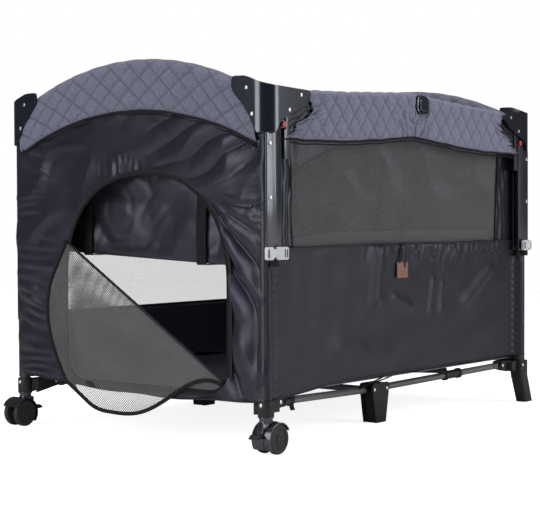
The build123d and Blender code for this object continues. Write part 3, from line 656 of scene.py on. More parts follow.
def overSection(v, width, height, shoulder):
    # goes up one face, over the rounded top and down the other: place, outward direction, arc length
    faceShare = 0.43
    face = height - shoulder
    topArc = math.pi / 2 * (width / 2 + shoulder)
    turn = np.clip((v - faceShare) / (1 - 2 * faceShare), 0, 1) * math.pi
    rise = np.clip(v / faceShare, 0, 1) * face
    fall = np.clip((v - 1 + faceShare) / faceShare, 0, 1) * face
    across = width / 2 * np.cos(turn)
    up = rise - fall + shoulder * np.sin(turn)
    run = rise + turn / math.pi * topArc + fall
    return across, up, np.cos(turn), np.sin(turn), run


# Padded bands over the arched ends
archBand = {"top": 832 * mm, "topRadius": 736 * mm, "low": 717 * mm, "lowRadius": 789 * mm,
            "half": 352 * mm, "width": 30 * mm, "shoulder": 16 * mm, "swell": 2.5 * mm, "thick": 3.0 * mm,
            # drop, proud and radius of each
            "pipings": ((0.5 * mm, 17.2 * mm, 2.7 * mm), (7.5 * mm, 15.2 * mm, 1.7 * mm))}


def arcHeight(radius, crown, offset):
    return crown - radius + np.sqrt(radius**2 - offset**2)


def archPoint(end, u, v):
    y = (u * 2 - 1) * archBand["half"]
    low = arcHeight(archBand["lowRadius"], archBand["low"], y)
    high = arcHeight(archBand["topRadius"], archBand["top"], y) - 3.0 * mm
    height = np.maximum(high - low, 0.03)
    across, up, outX, outZ, run = overSection(v, archBand["width"], height, archBand["shoulder"])
    puff, dip = quilting(y * 1.04, run)
    hold = ease(np.minimum(v, 1 - v) / 0.05)
    swell = archBand["swell"] * np.sin(math.pi * np.clip(up / 0.1, 0, 1))
    proud = puff * hold + swell + 0.7 * mm * waves(y, run, 0.07, 11)
    x = end * (postX + across + proud * outX)
    return x, y, low + up + proud * outZ * 0.25, dip * hold


for endName, end in bothEnds:
    band = gridSheet(f"{endName}ArchBand", 236, 92, lambda u, v: archPoint(end, u, v))
    closeMesh(band)
    thicken(band, archBand["thick"], -1.0)
    wear(band, quiltCloth, f"{endName}_end", "quilt_fabric", f"{endName}_arch_cover")
    # sewn piping between the band and the end cloth
    y = np.linspace(-archBand["half"], archBand["half"], 120)
    z = arcHeight(archBand["lowRadius"], archBand["low"], y)
    for k, (drop, proud, radius) in enumerate(archBand["pipings"]):
        x = np.full_like(y, end * (postX + proud))
        line = np.stack((x, y, z - drop + 0.6 * mm * waves(y, y, 0.09, 5)), 1)
        trim(f"{endName}BandPiping{k}", line, radius, bindingCloth, f"{endName}_end")
print("arched bands sewn")

# lower edge of the corner caps' side wings, under which the sleeves gather
capEdge = [(0.405, 0.733), (0.429, 0.715), (0.463, 0.701), (0.496, 0.688), (0.515, 0.676)]

# Padded sleeves over the half rails, open below
railSleeve = {"far": 484 * mm, "near": 0.6 * mm, "high": 28 * mm, "low": 78 * mm, "width": 35 * mm,
              "shoulder": 13 * mm, "centreZ": 744 * mm, "centreX": 30 * mm, "slope": 0.05, "keep": 0.3,
              "wide": 48 * mm, "tall": 54 * mm, "thick": 2.5 * mm, "soft": 7 * mm, "end": 497 * mm,
              "middle": 250 * mm,
              # drop, proud and radius of each
              "pipings": ((0.0, 18.0 * mm, 2.6 * mm), (7.0 * mm, 13.0 * mm, 1.6 * mm))}
latchHole = {"x": boxMiddle("drop_latch_button").x, "wide": 25.0 * mm, "tall": 22.3 * mm, "reach": 1.3,
             "rise": 1.14, "square": 3.5}
# where the outer face of a sleeve ends short of the cap: (above the rail's line, distance from the middle)
sleeveEdge = [(-0.071, 0.497), (-0.067, 0.462), (-0.0605, 0.449), (-0.053, 0.4553), (-0.042, 0.445),
              (-0.0315, 0.407), (-0.018, 0.3914), (-0.002, 0.3966), (0.01, 0.41), (0.02, 0.484)]
# gathers at the caps and round the latches
gather = {"capReach": 50 * mm, "capPitch": 16.5 * mm, "capHeight": 9.0 * mm, "latchEnd": 105 * mm,
          "latchReach": 70 * mm, "latchPitch": 26 * mm, "latchHeight": 8.0 * mm, "sink": 5.5 * mm,
          "tuck": 7 * mm}


def railHeight(x):
    return railSleeve["centreZ"] - (np.abs(x) - railSleeve["centreX"]) * railSleeve["slope"]


def railSag(x):
    # the cloth hangs slack between the latch and the cap
    return np.sin(math.pi * np.clip((x - 0.04) / 0.41, 0, 1))


def foldToRail(pieces):
    for piece in pieces:
        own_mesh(piece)


def holeRing(x, above):
    # 1 on the rim of the latch's hole
    square = latchHole["square"]
    wide, tall = np.abs(x / latchHole["wide"]), np.abs(above / latchHole["tall"])
    return (wide**square + tall**square) ** (1 / square)


def sleevePoint(end, side, u, v):
    height = railSleeve["high"] + railSleeve["low"] - 2.5 * mm
    across, up, outY, outZ, run = overSection(v, railSleeve["width"], height, railSleeve["shoulder"])
    above = up - railSleeve["low"]
    outer = outY > 0.2
    edge = np.where(outer, softly(above, sleeveEdge, railSleeve["soft"]), railSleeve["far"])
    x = railSleeve["near"] + u * (edge - railSleeve["near"])
    puff, dip = quilting(x + 9 * mm * (end > 0), run, railSleeve["wide"], railSleeve["tall"])
    hold = ease(np.minimum(v, 1 - v) / 0.05)
    bend = waves(x, run, 0.06, 23 + side)
    nearCap = ease((x - edge) / gather["capReach"] + 1) * outer * ease((0.012 - above) / 0.02)
    nearLatch = ease((gather["latchEnd"] - x) / gather["latchReach"]) * (0.3 + 0.7 * ease((0.08 - up) / 0.05))
    capFold = ridges(math.pi * (up - 0.45 * (edge - x)) / gather["capPitch"] + 1.1 * bend)
    latchFold = ridges(math.pi * (x - 0.35 * up) / gather["latchPitch"] + 1.3 * bend)
    pleat = gather["capHeight"] * nearCap * capFold + gather["latchHeight"] * nearLatch * latchFold
    shadow = nearCap * np.clip((-0.05 - capFold) / 0.3, 0, 1)
    shadow = shadow + nearLatch * np.clip((-0.12 - latchFold) / 0.3, 0, 1)
    proud = puff * hold * (1 - 0.7 * nearCap) * (1 - 0.6 * nearLatch) + pleat * hold
    proud = proud + 1.0 * mm * waves(x * end, run, 0.09, 21 + side)
    underCap = railHeight(x) + above - np.interp(x, *zip(*capEdge))
    covered = ease(underCap / gather["tuck"] + 1) * (x > capEdge[0][0] - 5 * mm)
    proud = proud - covered * np.maximum(proud - 1.2 * mm, 0)
    # the cloth opens round the latch's bezel, and lies smooth over its top
    aside = x - latchHole["x"] * end
    ring = holeRing(aside, above)
    upward = ease(above / latchHole["tall"] / np.maximum(ring, 1e-4))
    reach = latchHole["reach"] + (latchHole["rise"] - latchHole["reach"]) * upward
    opened = np.where(ring < reach, 1 + ring * (1 - 1 / reach), ring)
    push = np.where(outer, opened / np.maximum(ring, 1e-4), 1.0)
    proud = np.where(outer, proud - gather["sink"] * ease((reach - ring) / reach), proud)
    x, above = x + aside * (push - 1), above * push
    across = across + proud * outY
    slack = railSag(x) * (1.5 + 4.5 * ease((0.07 - up) / 0.07)) * mm
    ripple = 2.0 * mm * nearLatch * np.sin(x * 90) * (up < 0.03)
    z = railHeight(x) + above + proud * outZ * 0.4 - slack + ripple
    # painted shade for the material: the stitched valleys of the quilting and the valleys of the gathers
    sleeveShade = np.clip(dip * hold * (1 - 0.5 * nearLatch) + shadow * 1.3, 0, 1.6)
    return end * x, side * (postY + across), z, sleeveShade


# a black sheet behind a sleeve's gathered end: painted shade filling the shadowed gap under the cap
shadeSheet = {"x": 375 * mm, "wide": 112 * mm, "low": -72 * mm, "tall": 85 * mm, "proud": 14.2 * mm,
               "pitch": 14 * mm, "thick": 0.8 * mm}


def shadeSheetPoint(end, side, u, v):
    x, above = shadeSheet["x"] + shadeSheet["wide"] * u, shadeSheet["low"] + shadeSheet["tall"] * v
    fold = ridges(math.pi * (above + 0.3 * x) / shadeSheet["pitch"] + waves(x, above, 0.05, 27))
    return end * x, side * (postY + shadeSheet["proud"] + 2.0 * mm * fold), railHeight(x) + above


for sideName, side in bothSides:
    for endName, end in bothEnds:
        name, body = sideName + endName.title(), f"{sideName}_{endName}_rail"
        sleeve = gridSheet(name + "Sleeve", 156, 92, lambda u, v: sleevePoint(end, side, u, v))
        # cut away what the latch's hole swallowed
        points = readPoints(sleeve)
        spot = holeRing(points[:, 0] - latchHole["x"], points[:, 2] - railSleeve["centreZ"])
        inHole = (spot < 0.985) & (np.abs(points[:, 1]) > postY + 4 * mm)
        removePoints(sleeve, inHole)
        closeMesh(sleeve)
        thicken(sleeve, railSleeve["thick"], -1.0)
        wear(sleeve, quiltSleeveLit, body, "quilt_fabric", f"{sideName}_{endName}_cover")
        # painted shade: a black satin sheet in the gap behind the gathers
        shadeSheetPiece = sewSheet(name + "Gusset", (50, 60), lambda u, v: shadeSheetPoint(end, side, u, v),
                          shadeSheet["thick"], satinBlack, body, flat=(0.112, 0.11), held="gathered",
                          rests_on=[body])
        pieces = [sleeve, shadeSheetPiece]
        x = np.linspace(1 * mm, railSleeve["end"], 100)
        z = railHeight(x) - railSleeve["low"] - 6.0 * mm * railSag(x) + 1.2 * mm * waves(x * end, x, 0.11, 31)
        for k, (drop, proud, radius) in enumerate(railSleeve["pipings"]):
            line = np.stack((end * x, np.full_like(x, side * (postY + proud)), z - drop), 1)
            pieces.append(trim(f"{name}SleevePiping{k}", line, radius, bindingCloth, body))
        foldToRail(pieces)
print("rail sleeves sewn")

# End cloths: flat between the posts, then wrapped round them
endCloth = {"radius": 13.6 * mm, "turn": 1.22, "hem": 102 * mm, "hemBow": 16.5 * mm, "hemTilt": 8.5 * mm,
            "thick": 1.2 * mm, "seams": (-352 * mm, 310 * mm), "seamSpan": (130 * mm, 640 * mm),
            "hemHalf": 352 * mm, "lift": 38 * mm, "doorBillow": ((4.2 * mm, 0.26, 41), (1.8 * mm, 0.09, 43))}
doorArch = {"centre": -36 * mm, "half": 240 * mm, "spring": 340 * mm, "rise": 240 * mm, "square": 2.3,
            "sill": 120 * mm, "corner": 50 * mm}
hub = (doorArch["centre"], 360 * mm)  # a point of the doorway, for angles round it
endHalf = postY + endCloth["radius"] * endCloth["turn"]  # unrolled


def wrapEnd(end, across, proud):
    # the unrolled cloth laid on the end and round both posts; proud lifts it off
    reach = endCloth["radius"] + proud
    past = np.maximum(np.abs(across) - postY, 0) / endCloth["radius"]
    x = end * (postX + reach * np.cos(past))
    y = np.where(past > 0, np.sign(across) * (postY + reach * np.sin(past)), across)
    return x, y


def endHem(y):
    bow = endCloth["hemBow"] * (y / 0.36) ** 2 + endCloth["hemTilt"] * y / 0.36
    return endCloth["hem"] + bow + 1.5 * mm * waves(y, y * 0, 0.16, 3)


def endTop(y):
    # the band's lower edge; beside the posts the cloth goes on up behind the caps
    lift = endCloth["lift"] * ease((np.abs(y) - 0.338) / 0.016)
    return arcHeight(archBand["lowRadius"], archBand["low"] + 1 * mm, y) + lift


def inEndCloth(y, z):
    return (np.abs(y) < endHalf) & (z > endHem(y)) & (z < endTop(y))


def inDoor(y, z, grow=0.0):
    half, rise, square = doorArch["half"] + grow, doorArch["rise"] + grow, doorArch["square"]
    off = np.abs(y - doorArch["centre"])
    arch = (off / half) ** square + (np.maximum(z - doorArch["spring"], 0) / rise) ** square < 1
    corner = doorArch["corner"]
    reach = np.maximum(off - half + corner, 0)
    drop = np.maximum(doorArch["sill"] - grow + corner - z, 0)
    return np.where(z > doorArch["spring"], arch, (off < half) & (reach**2 + drop**2 < corner**2))


def farthest(inside, like, limit):
    # how far a shape reaches, by halving; inside(distance) says where it still is
    near, far = np.zeros_like(like), np.full_like(like, limit)
    for _ in range(40):
        half = (near + far) / 2
        hit = inside(half)
        near, far = np.where(hit, half, near), np.where(hit, far, half)
    return near


def roundHub(reach, turn):
    return hub[0] + reach * np.cos(turn), hub[1] + reach * np.sin(turn)


def reachOut(turn, inside):
    # distance from the hub, along each angle, to the edge of a shape
    return farthest(lambda reach: inside(*roundHub(reach, turn)), turn, 0.9)


def crease(y, z, start, finish, width, height):
    # one soft fold between two points of the cloth
    start, finish = np.array(start), np.array(finish)
    run = finish - start
    length = np.linalg.norm(run)
    along = ((y - start[0]) * run[0] + (z - start[1]) * run[1]) / length
    off = ((y - start[0]) * run[1] - (z - start[1]) * run[0]) / length
    share = along / length
    return height * np.exp(-((off / width) ** 2)) * ease(share * 4 + 0.4) * ease((1 - share) * 4 + 0.4)


# folds of the doorway end fan out from the doorway's shoulder to the drop-side post
fan = {"spot": (-0.205, 0.54), "pitch": 0.27, "height": 12 * mm}
# pleats over the top of the doorway, and slack drawn up to the drop-side corner
pleats = {"y": 34 * mm, "reach": 50 * mm, "pitch": 19 * mm, "height": 2.2 * mm, "slackPitch": 42 * mm,
          "slackHeight": 5.5 * mm}


def seamGathers(y, z, height):
    # the cloth is drawn in along both seams
    low, high = endCloth["seams"]
    bend = waves(y * 0.5, z, 0.12, 47)
    wide = bell(y, high, 0.05) * ridges(math.pi * (z + 0.12 * (high - y)) / 0.026 + 2.2 * bend)
    fine = bell(y, low, 0.012) * np.sin(2 * math.pi * z / 0.0135 + 2 * bend) * ease((z - 0.42) / 0.08)
    return height * (wide * (0.75 + 0.5 * waves(y, z, 0.1, 48)) + 0.5 * fine)


def endRelief(y, z):
    bend = waves(y, z, 0.14, 45)
    proud = billow(y, z, endCloth["doorBillow"]) + seamGathers(y, z, 5.0 * mm)
    proud = proud + 4.5 * mm * crumpled(y, z, 0.2, 46)
    aside, down = fan["spot"][0] - y, fan["spot"][1] - z
    reach, turn = np.hypot(aside, down), np.arctan2(down, aside)
    inFan = ease((turn + 0.05) / 0.3) * ease((1.7 - turn) / 0.2)
    inFan = inFan * ease((reach - 0.02) / 0.08) * ease((y + 0.364) / 0.03) * np.minimum(reach / 0.16, 1)
    proud = proud + fan["height"] * inFan * ridges(math.pi * turn / fan["pitch"] + 0.8 * bend)
    crown = bell(y, pleats["y"], pleats["reach"]) * ease((z - 0.574) / 0.012) * ease((0.632 - z) / 0.03)
    crown = crown * (0.6 + 0.4 * waves(y, z, 0.05, 56))
    phase = 2 * math.pi * y / pleats["pitch"] + 2.6 * waves(y, z, 0.07, 52)
    proud = proud + pleats["height"] * crown * np.sin(phase)
    slack = ease((-0.02 - y) / 0.1) * ease((z - 0.53) / 0.06) * ease((y + 0.36) / 0.05)
    phase = math.pi * (0.29 * y + 0.957 * z) / pleats["slackPitch"] + 1.2 * bend
    return proud + pleats["slackHeight"] * slack * ridges(phase)


corners = [(endHalf, endHem(endHalf)), (endHalf, endTop(endHalf)),
           (-endHalf, endTop(endHalf)), (-endHalf, endHem(-endHalf))]
turnStops = [math.atan2(z - hub[1], y - hub[0]) for y, z in corners]
turnStops[3] += 2 * math.pi * (turnStops[3] < 0)
turnStops.append(turnStops[0] + 2 * math.pi)
ringSteps = [90, 250, 90, 150]
ringTurns = [np.linspace(turnStops[k], turnStops[k + 1], ringSteps[k] + 1)[:-1] for k in range(4)]
ringTurns = np.concatenate(ringTurns + [[turnStops[4]]])


def doorRing(u, v):
    turn = ringTurns[np.rint(u * sum(ringSteps)).astype(int)]
    inner = reachOut(turn, inDoor)
    outer = reachOut(turn, inEndCloth)
    y, z = roundHub(inner + (outer - inner) * v, turn)
    hold = ease((1 - v) / 0.06) * ease(v / 0.04)
    x, y = wrapEnd(-1, y, endRelief(y, z) * hold)
    return x, y, z


sewSheet("doorEndCloth", (sum(ringSteps), 60), doorRing, endCloth["thick"], satinEnd, "door_end",
         "door_end_panel", merged=True, flat=(2 * endHalf, 0.66), held="stretched",
         rests_on=["door_drop_post", "door_back_post"])


def farSheet(u, v):
    across = (u * 2 - 1) * endHalf
    low, high = endHem(across), endTop(across)
    z = low + (high - low) * v
    hold = ease(np.minimum(v, 1 - v) / 0.06) * ease((endHalf - np.abs(across)) / 0.05)
    proud = 2.6 * mm * waves(across * 1.6, z * 0.7, 0.26, 51) + 0.8 * mm * waves(across, z, 0.08, 53)
    proud = proud + 1.6 * mm * crumpled(across * 1.5, z * 0.8, 0.3, 54) + seamGathers(across, z, 4.5 * mm)
    x, y = wrapEnd(1, across, proud * hold)
    return x, y, z


sewSheet("farEndCloth", (150, 130), farSheet, endCloth["thick"], satinEnd, "far_end", "far_end_panel",
         flat=(2 * endHalf, 0.66), held="stretched", rests_on=["far_drop_post", "far_back_post"])

# sewn seams beside the posts and along the hems of both end cloths
for endName, end in bothEnds:
    rows = []
    z = np.linspace(*endCloth["seamSpan"], 60)
    for across in endCloth["seams"]:
        x, y = wrapEnd(end, np.full_like(z, across), 1.4 * mm)
        rows.append(stitchRow("seamRow", np.stack((x, y, z), 1), (end, 0, 0)))
    across = np.linspace(-endCloth["hemHalf"], endCloth["hemHalf"], 140)
    x, y = wrapEnd(end, across, 1.0 * mm)
    line = np.stack((x, y, endHem(across) + 9 * mm), 1)
    rows.append(stitchRow("hemRow", line, (end, 0, 0), radius=0.4 * mm))
    wear(joinPieces(f"{endName}EndStitches", rows), stitchThread, f"{endName}_end", "satin_fabric")
    x, y = wrapEnd(end, across, 0.0)
    trim(f"{endName}EndHem", np.stack((x, y, endHem(across)), 1), 2.0 * mm, satinBlack, f"{endName}_end")
print("end cloths stretched")

# Doorway: tape and zip round the opening, the sewn-in net and the net door that hangs open
doorEdge = {"tapeIn": -3 * mm, "tapeOut": 8 * mm, "tapeProud": 14.2 * mm, "zip": 2.6 * mm, "cord": 1.7 * mm}


def doorReach(turn, grow):
    return reachOut(turn, lambda y, z: inDoor(y, z, grow))


def doorOutline(grow, proud):
    turn = np.linspace(0, 2 * math.pi, 241)
    return np.stack((np.full_like(turn, -(postX + proud)), *roundHub(doorReach(turn, grow), turn)), 1)


def tapePoint(u, v):
    turn = u * 2 * math.pi
    near, far = doorReach(turn, doorEdge["tapeIn"]), doorReach(turn, doorEdge["tapeOut"])
    lift = 1.6 * mm * np.sin(math.pi * v)
    return -(postX + doorEdge["tapeProud"]) - lift, *roundHub(near + (far - near) * v, turn)


tape = gridSheet("doorTape", 240, 6, tapePoint)
closeMesh(tape)
thicken(tape, 1.0 * mm)
wear(tape, bindingCloth, "door_end", "satin_fabric")
line = doorOutline(-1.5 * mm, 14.8 * mm)[:-1]
trim("doorZip", line, doorEdge["zip"], bindingCloth, "door_end", closed=True)
line = doorOutline(8.2 * mm, 14.6 * mm)[:-1]
trim("doorTapeCord", line, doorEdge["cord"], satinBlack, "door_end", closed=True)
tapeRow = stitchRow("doorTapeStitches", doorOutline(5 * mm, 16.0 * mm), (-1, 0, 0), pitch=5.2 * mm)
wear(tapeRow, stitchThread, "door_end", "satin_fabric")

foldLine = {"high": (203 * mm, 432 * mm), "low": (-266 * mm, 141 * mm), "flapX": 549.5 * mm, "inset": 4 * mm,
            "soft": 0.05}
foldStart = np.array(foldLine["high"])
foldRun = np.array(foldLine["low"]) - foldStart
foldUp = np.array((foldRun[1], -foldRun[0])) / np.linalg.norm(foldRun)


def fromFold(u, grow, way):
    # a point of the fold line, and how far the doorway's edge is from it
    t = (1 - np.cos(math.pi * u)) / 2
    y, z = foldStart[0] + foldRun[0] * t, foldStart[1] + foldRun[1] * t
    aside, up = way * foldUp
    return y, z, farthest(lambda reach: inDoor(y + aside * reach, z + up * reach, grow), t, 0.6)


def lowerNet(u, v):
    y, z, deep = fromFold(u, 0.0, -1)
    sag = 3.0 * mm * np.sin(math.pi * u) * np.sin(math.pi * v)
    return -(postX + 13.4 * mm) - sag, y - foldUp[0] * deep * v, z - foldUp[1] * deep * v


# towards the sill the loose net curls back: how far it reaches, along the fold line
flapCurl = [(0.5, 0.27), (0.66, 0.219), (0.72, 0.189), (0.77, 0.152), (0.82, 0.095), (0.86, 0.055),
            (0.9, 0.026), (1.0, 0.0)]


def flapNet(u, v):
    y, z, deep = fromFold(u, -foldLine["inset"], 1)
    at = (1 - np.cos(math.pi * u)) / 2
    deep = np.minimum(deep, softly(at, flapCurl, foldLine["soft"], 11))
    sway = v * (2.0 * mm * np.sin(7 * u + 1.0) + 1.5 * mm * waves(u, v, 0.5, 61))
    return -foldLine["flapX"] - sway * ease(v * 3), y - foldUp[0] * deep * v, z - foldUp[1] * deep * v


for name, place, body, node in (("doorLowerNet", lowerNet, "door_end", "door_lower_mesh"),
                                ("doorFlapNet", flapNet, "door_flap", "door_flap")):
    net = gridSheet(name, 90, 40, place)
    closeMesh(net)
    thicken(net, 0.5 * mm)
    wear(net, meshAcross, body, "mesh_fabric", node)
    low, high = Vector(readPoints(net).min(0)), Vector(readPoints(net).max(0))
trim("doorFlapRim", rimLine(flapNet, 1, 140), 4.4 * mm, bindingCloth, "door_flap")
trim("doorFlapSeam", rimLine(flapNet, 0, 140), 1.8 * mm, satinBlack, "door_flap")
trim("doorNetSeam", rimLine(lowerNet, 0, 140), 1.6 * mm, satinBlack, "door_end")
print("doorway hung")

# Long sides: satin below, net above; on the object both crumple towards the doorway end when the frame folds,
# and here each piece only gets a mesh of its own
sideCloth = {"y": 356 * mm, "flat": 500 * mm, "radius": 13.6 * mm, "turn": 0.8, "hem": 126.5 * mm,
             "hemDrop": 19 * mm, "thick": 1.2 * mm, "keep": 0.33, "top": 423 * mm, "topHalf": 515 * mm,
             "billow": ((3.5 * mm, 0.34, 75), (1.0 * mm, 0.1, 77)), "drawn": 7.0 * mm, "drawnPitch": 30 * mm}
sideReach = postX + sideCloth["radius"] * sideCloth["turn"]  # unrolled


def crumple(*pieces):
    for piece in pieces:
        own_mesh(piece)


def wrapSide(side, along, proud, stay=0.0):
    # unrolled side cloth; stay keeps the ends off the posts, where a track stands
    lean = ease((np.abs(along) - sideCloth["flat"]) / (postX - sideCloth["flat"])) * (1 - stay)
    outer = postY + sideCloth["radius"]
    y = sideCloth["y"] + (outer - sideCloth["y"]) * lean + proud
    past = np.maximum(np.abs(along) - postX, 0) / sideCloth["radius"]
    x = np.where(past > 0, np.sign(along) * (postX + sideCloth["radius"] * np.sin(past)), along)
    y = np.where(past > 0, postY + sideCloth["radius"] * np.cos(past) + proud, y)
    return x, side * y


def sideHem(x):
    drop = sideCloth["hemDrop"] * ease((-0.2 - x) / 0.33)
    return sideCloth["hem"] - drop + 1.2 * mm * waves(x, x * 0, 0.2, 71)


dropFolds = [((-0.115, 0.425), (-0.125, 0.28), 0.02, 0.006), ((-0.02, 0.425), (-0.012, 0.36), 0.009, 0.004),
             ((0.03, 0.425), (0.045, 0.375), 0.008, 0.0035), ((0.10, 0.425), (0.13, 0.385), 0.009, 0.004),
             ((0.20, 0.425), (0.22, 0.39), 0.01, 0.003), ((0.12, 0.34), (0.10, 0.25), 0.008, 0.0028),
             ((0.16, 0.33), (0.15, 0.25), 0.008, 0.0025), ((-0.06, 0.30), (0.03, 0.27), 0.012, 0.003),
             ((0.40, 0.36), (0.25, 0.27), 0.016, 0.004), ((-0.30, 0.20), (-0.05, 0.16), 0.03, 0.003)]


def dropPanel(u, v):
    half = np.where(v > 0.9, sideCloth["topHalf"], sideReach)
    along = (u * 2 - 1) * half
    top = sideCloth["top"] - 4 * mm * ease((-0.1 - along) / 0.3)
    top = top + 2.2 * mm * waves(along, along * 0, 0.12, 73) * ease((along + 0.2) / 0.2)
    low = sideHem(along)
    z = low + (top - low) * v
    proud = billow(along, z, sideCloth["billow"])
    for fold in dropFolds:
        proud = proud + 1.6 * crease(along, z, *fold)
    drawn = bell(z, top, 0.035) * ease((along + 0.2) / 0.1) * ease((0.47 - along) / 0.05)
    drawn = drawn * (0.7 + 0.5 * waves(along, z, 0.2, 78))
    phase = math.pi * (along + 0.5 * (top - z)) / sideCloth["drawnPitch"] + 2.4 * waves(along, z, 0.1, 79)
    proud = proud + sideCloth["drawn"] * drawn * ridges(phase)
    hold = ease(v / 0.06) * ease((1 - v) / 0.02 + 0.3) * ease((0.5 - np.abs(along)) / 0.08)
    gather = 1.3 * mm * np.exp(-(((np.abs(along) - 0.5) / 0.014) ** 2)) * np.sin(2 * math.pi * z / 0.018)
    x, y = wrapSide(-1, along, proud * hold + gather, ease((v - 0.8) / 0.1))
    return x, y, z


dropCloth = sewSheet("dropLowerCloth", (220, 70), dropPanel, sideCloth["thick"], satinSide, "door_end",
                     "drop_lower_panel", flat=(1.09, 0.33), held="hung",
                     rests_on=["door_drop_post", "far_drop_post"])
hemSpan = (160, 0.005, 0.995)
dropHem = trim("dropLowerHem", rimLine(dropPanel, 0, *hemSpan), 1.9 * mm, satinSide, "door_end")
dropTop = trim("dropLowerTop", rimLine(dropPanel, 1, *hemSpan), 2.3 * mm, satinSide, "door_end")
crumple(dropCloth, dropHem, dropTop)

backSide = {"net": 406 * mm, "netLow": 250 * mm, "strip": 400 * mm, "tape": 256 * mm, "tapeHalf": 8 * mm,
            "top": 668 * mm, "hem": 114 * mm, "billow": ((2.6 * mm, 0.3, 81), (0.9 * mm, 0.09, 83))}


def backPanel(along, v, low, high, loose):
    z = low + (high - low) * v
    hold = ease((0.5 - np.abs(along)) / 0.08)
    proud = billow(along, z, backSide["billow"]) * hold * loose
    x, y = wrapSide(1, along, proud)
    return x, y, z


def backStrip(end, u, v):
    along = end * (backSide["strip"] + (sideReach - backSide["strip"]) * u)
    x, y, z = backPanel(along, v, backSide["tape"] - 5 * mm, backSide["top"], 0.5)
    drawn = ridges(math.pi * (u * 4 + 0.6 * v) + waves(x, z, 0.1, 85)) * ease((0.9 - u) / 0.3)
    return x, y + 2.6 * mm + 3.5 * mm * drawn, z


def backLow(u, v):
    return backPanel((u * 2 - 1) * sideReach, v, backSide["hem"], backSide["tape"], 1.0)


def backTapePoint(u, v):
    low, high = backSide["tape"] - backSide["tapeHalf"], backSide["tape"] + backSide["tapeHalf"]
    x, y, z = backPanel((u * 2 - 1) * sideReach, v, low, high, 0.5)
    return x, y + 1.8 * mm, z


def backWindow(u, v):
    return backPanel((u * 2 - 1) * backSide["net"], v, backSide["netLow"], backSide["top"], 0.5)


backLower = sewSheet("backLowerCloth", (160, 36), backLow, sideCloth["thick"], satinSide, "door_end",
                     "back_side_panel", flat=(1.09, 0.15), held="stretched",
                     rests_on=["door_back_post", "far_back_post"])
markInner(backLower, 1)
backNet = sewSheet("backNet", (130, 60), backWindow, 0.5 * mm, meshBack, "door_end", slot="mesh_fabric",
                   flat=(0.81, 0.42), held="stretched", rests_on=["backDoorStrip", "backFarStrip"])
for endName, end in bothEnds:
    strip = sewSheet(f"back{endName.title()}Strip", (44, 60), lambda u, v: backStrip(end, u, v), 1.0 * mm,
                     satinSide, "door_end", flat=(0.16, 0.42), held="gathered",
                     rests_on=[f"{endName}_back_post"])
    crumple(strip)
backTape = gridSheet("backTape", 160, 3, backTapePoint)
thicken(backTape, 1.0 * mm)
wear(backTape, bindingCloth, "door_end", "satin_fabric")
backHem = trim("backLowerHem", rimLine(backLow, 0, *hemSpan), 1.9 * mm, satinSide, "door_end")
crumple(backLower, backNet, backTape, backHem)
print("long sides hung")

# Drop side windows: net with gathered satin strips, carried by the half rails
window = {"y": 348.3 * mm, "low": 421 * mm, "near": 0.06 * mm, "stripIn": 424 * mm, "stripLean": 0.065 * 0.22,
          "stripOut": 513 * mm, "tuck": 45 * mm, "bend": 446 * mm, "fall": 0.4, "keep": 0.12}


def windowTop(x):
    level = railHeight(np.minimum(x, window["bend"])) - window["tuck"]
    return level - np.maximum(x - window["bend"], 0) * window["fall"]


for endName, end in bothEnds:
    body = f"drop_{endName}_rail"

    def stripEdge(v):
        return window["stripIn"] + window["stripLean"] * v

    def netPoint(u, v):
        x = window["near"] + u * (stripEdge(v) + 6 * mm - window["near"])
        z = window["low"] + (windowTop(x) - window["low"]) * v
        billow = 2.2 * mm * np.sin(math.pi * v) * waves(x * end, z, 0.3, 91)
        return end * x, -(window["y"] + billow), z

    def stripPoint(u, v):
        x = stripEdge(v) + u * (window["stripOut"] - stripEdge(v))
        z = window["low"] + (windowTop(x) - window["low"]) * v
        ruffle = (4.0 if end < 0 else 1.2) * mm
        fold = ruffle * ridges(math.pi * (u * 4.2 + 0.8 * v) + 1.2 * waves(x, z, 0.1, 94))
        fold = fold + 1.2 * mm * waves(x, z, 0.05, 93)
        return end * x, -(window["y"] + 2.4 * mm + fold), z

    net = sewSheet(f"drop{endName.title()}Net", (90, 50), netPoint, 0.5 * mm, meshAlong, body,
                   f"drop_{endName}_window", slot="mesh_fabric", flat=(0.44, 0.278), held="hung",
                   rests_on=[body])
    strip = sewSheet(f"drop{endName.title()}Strip", (44, 60), stripPoint, 1.0 * mm, satinEnd, body,
                     flat=(0.11, 0.26), held="gathered", rests_on=[body])
    line = rimLine(lambda v, u: stripPoint(u, v), 0, 60)
    cord = trim(f"drop{endName.title()}StripPiping", line, 2.0 * mm, bindingCloth, body)
    foldToRail((net, strip, cord))
print("windows hung")

# Inside: the floor cloth, the hung bassinet and its mattress
inside = {"floorZ": 117.5 * mm, "floorX": 512 * mm, "floorY": 344 * mm, "trayX": 498 * mm, "trayY": 338 * mm,
          "trayZ": 395 * mm, "sideZ": 455 * mm, "shoulder": 600 * mm, "crown": 703 * mm, "hook": 190 * mm,
          "thick": 1.6 * mm}


def askew(x, y):
    # the bed hangs lower towards the drop side at the doorway end
    return 0.05 * (y + 0.03) * ease((-0.2 - x) / 0.28)


def floorPoint(u, v):
    x, y = (u * 2 - 1) * inside["floorX"], (v * 2 - 1) * inside["floorY"]
    hold = ease((inside["floorX"] - np.abs(x)) / 0.05) * ease((inside["floorY"] - np.abs(y)) / 0.05)
    return x, y, inside["floorZ"] + 1.6 * mm * waves(x, y, 0.22, 101) * hold


floorCloth = sewSheet("floorCloth", (90, 60), floorPoint, 2.0 * mm, satinBlack, "door_end", "floor_panel",
                      flat=(1.03, 0.69), held="stretched", rests_on=["door_end_panel", "far_end_panel"])
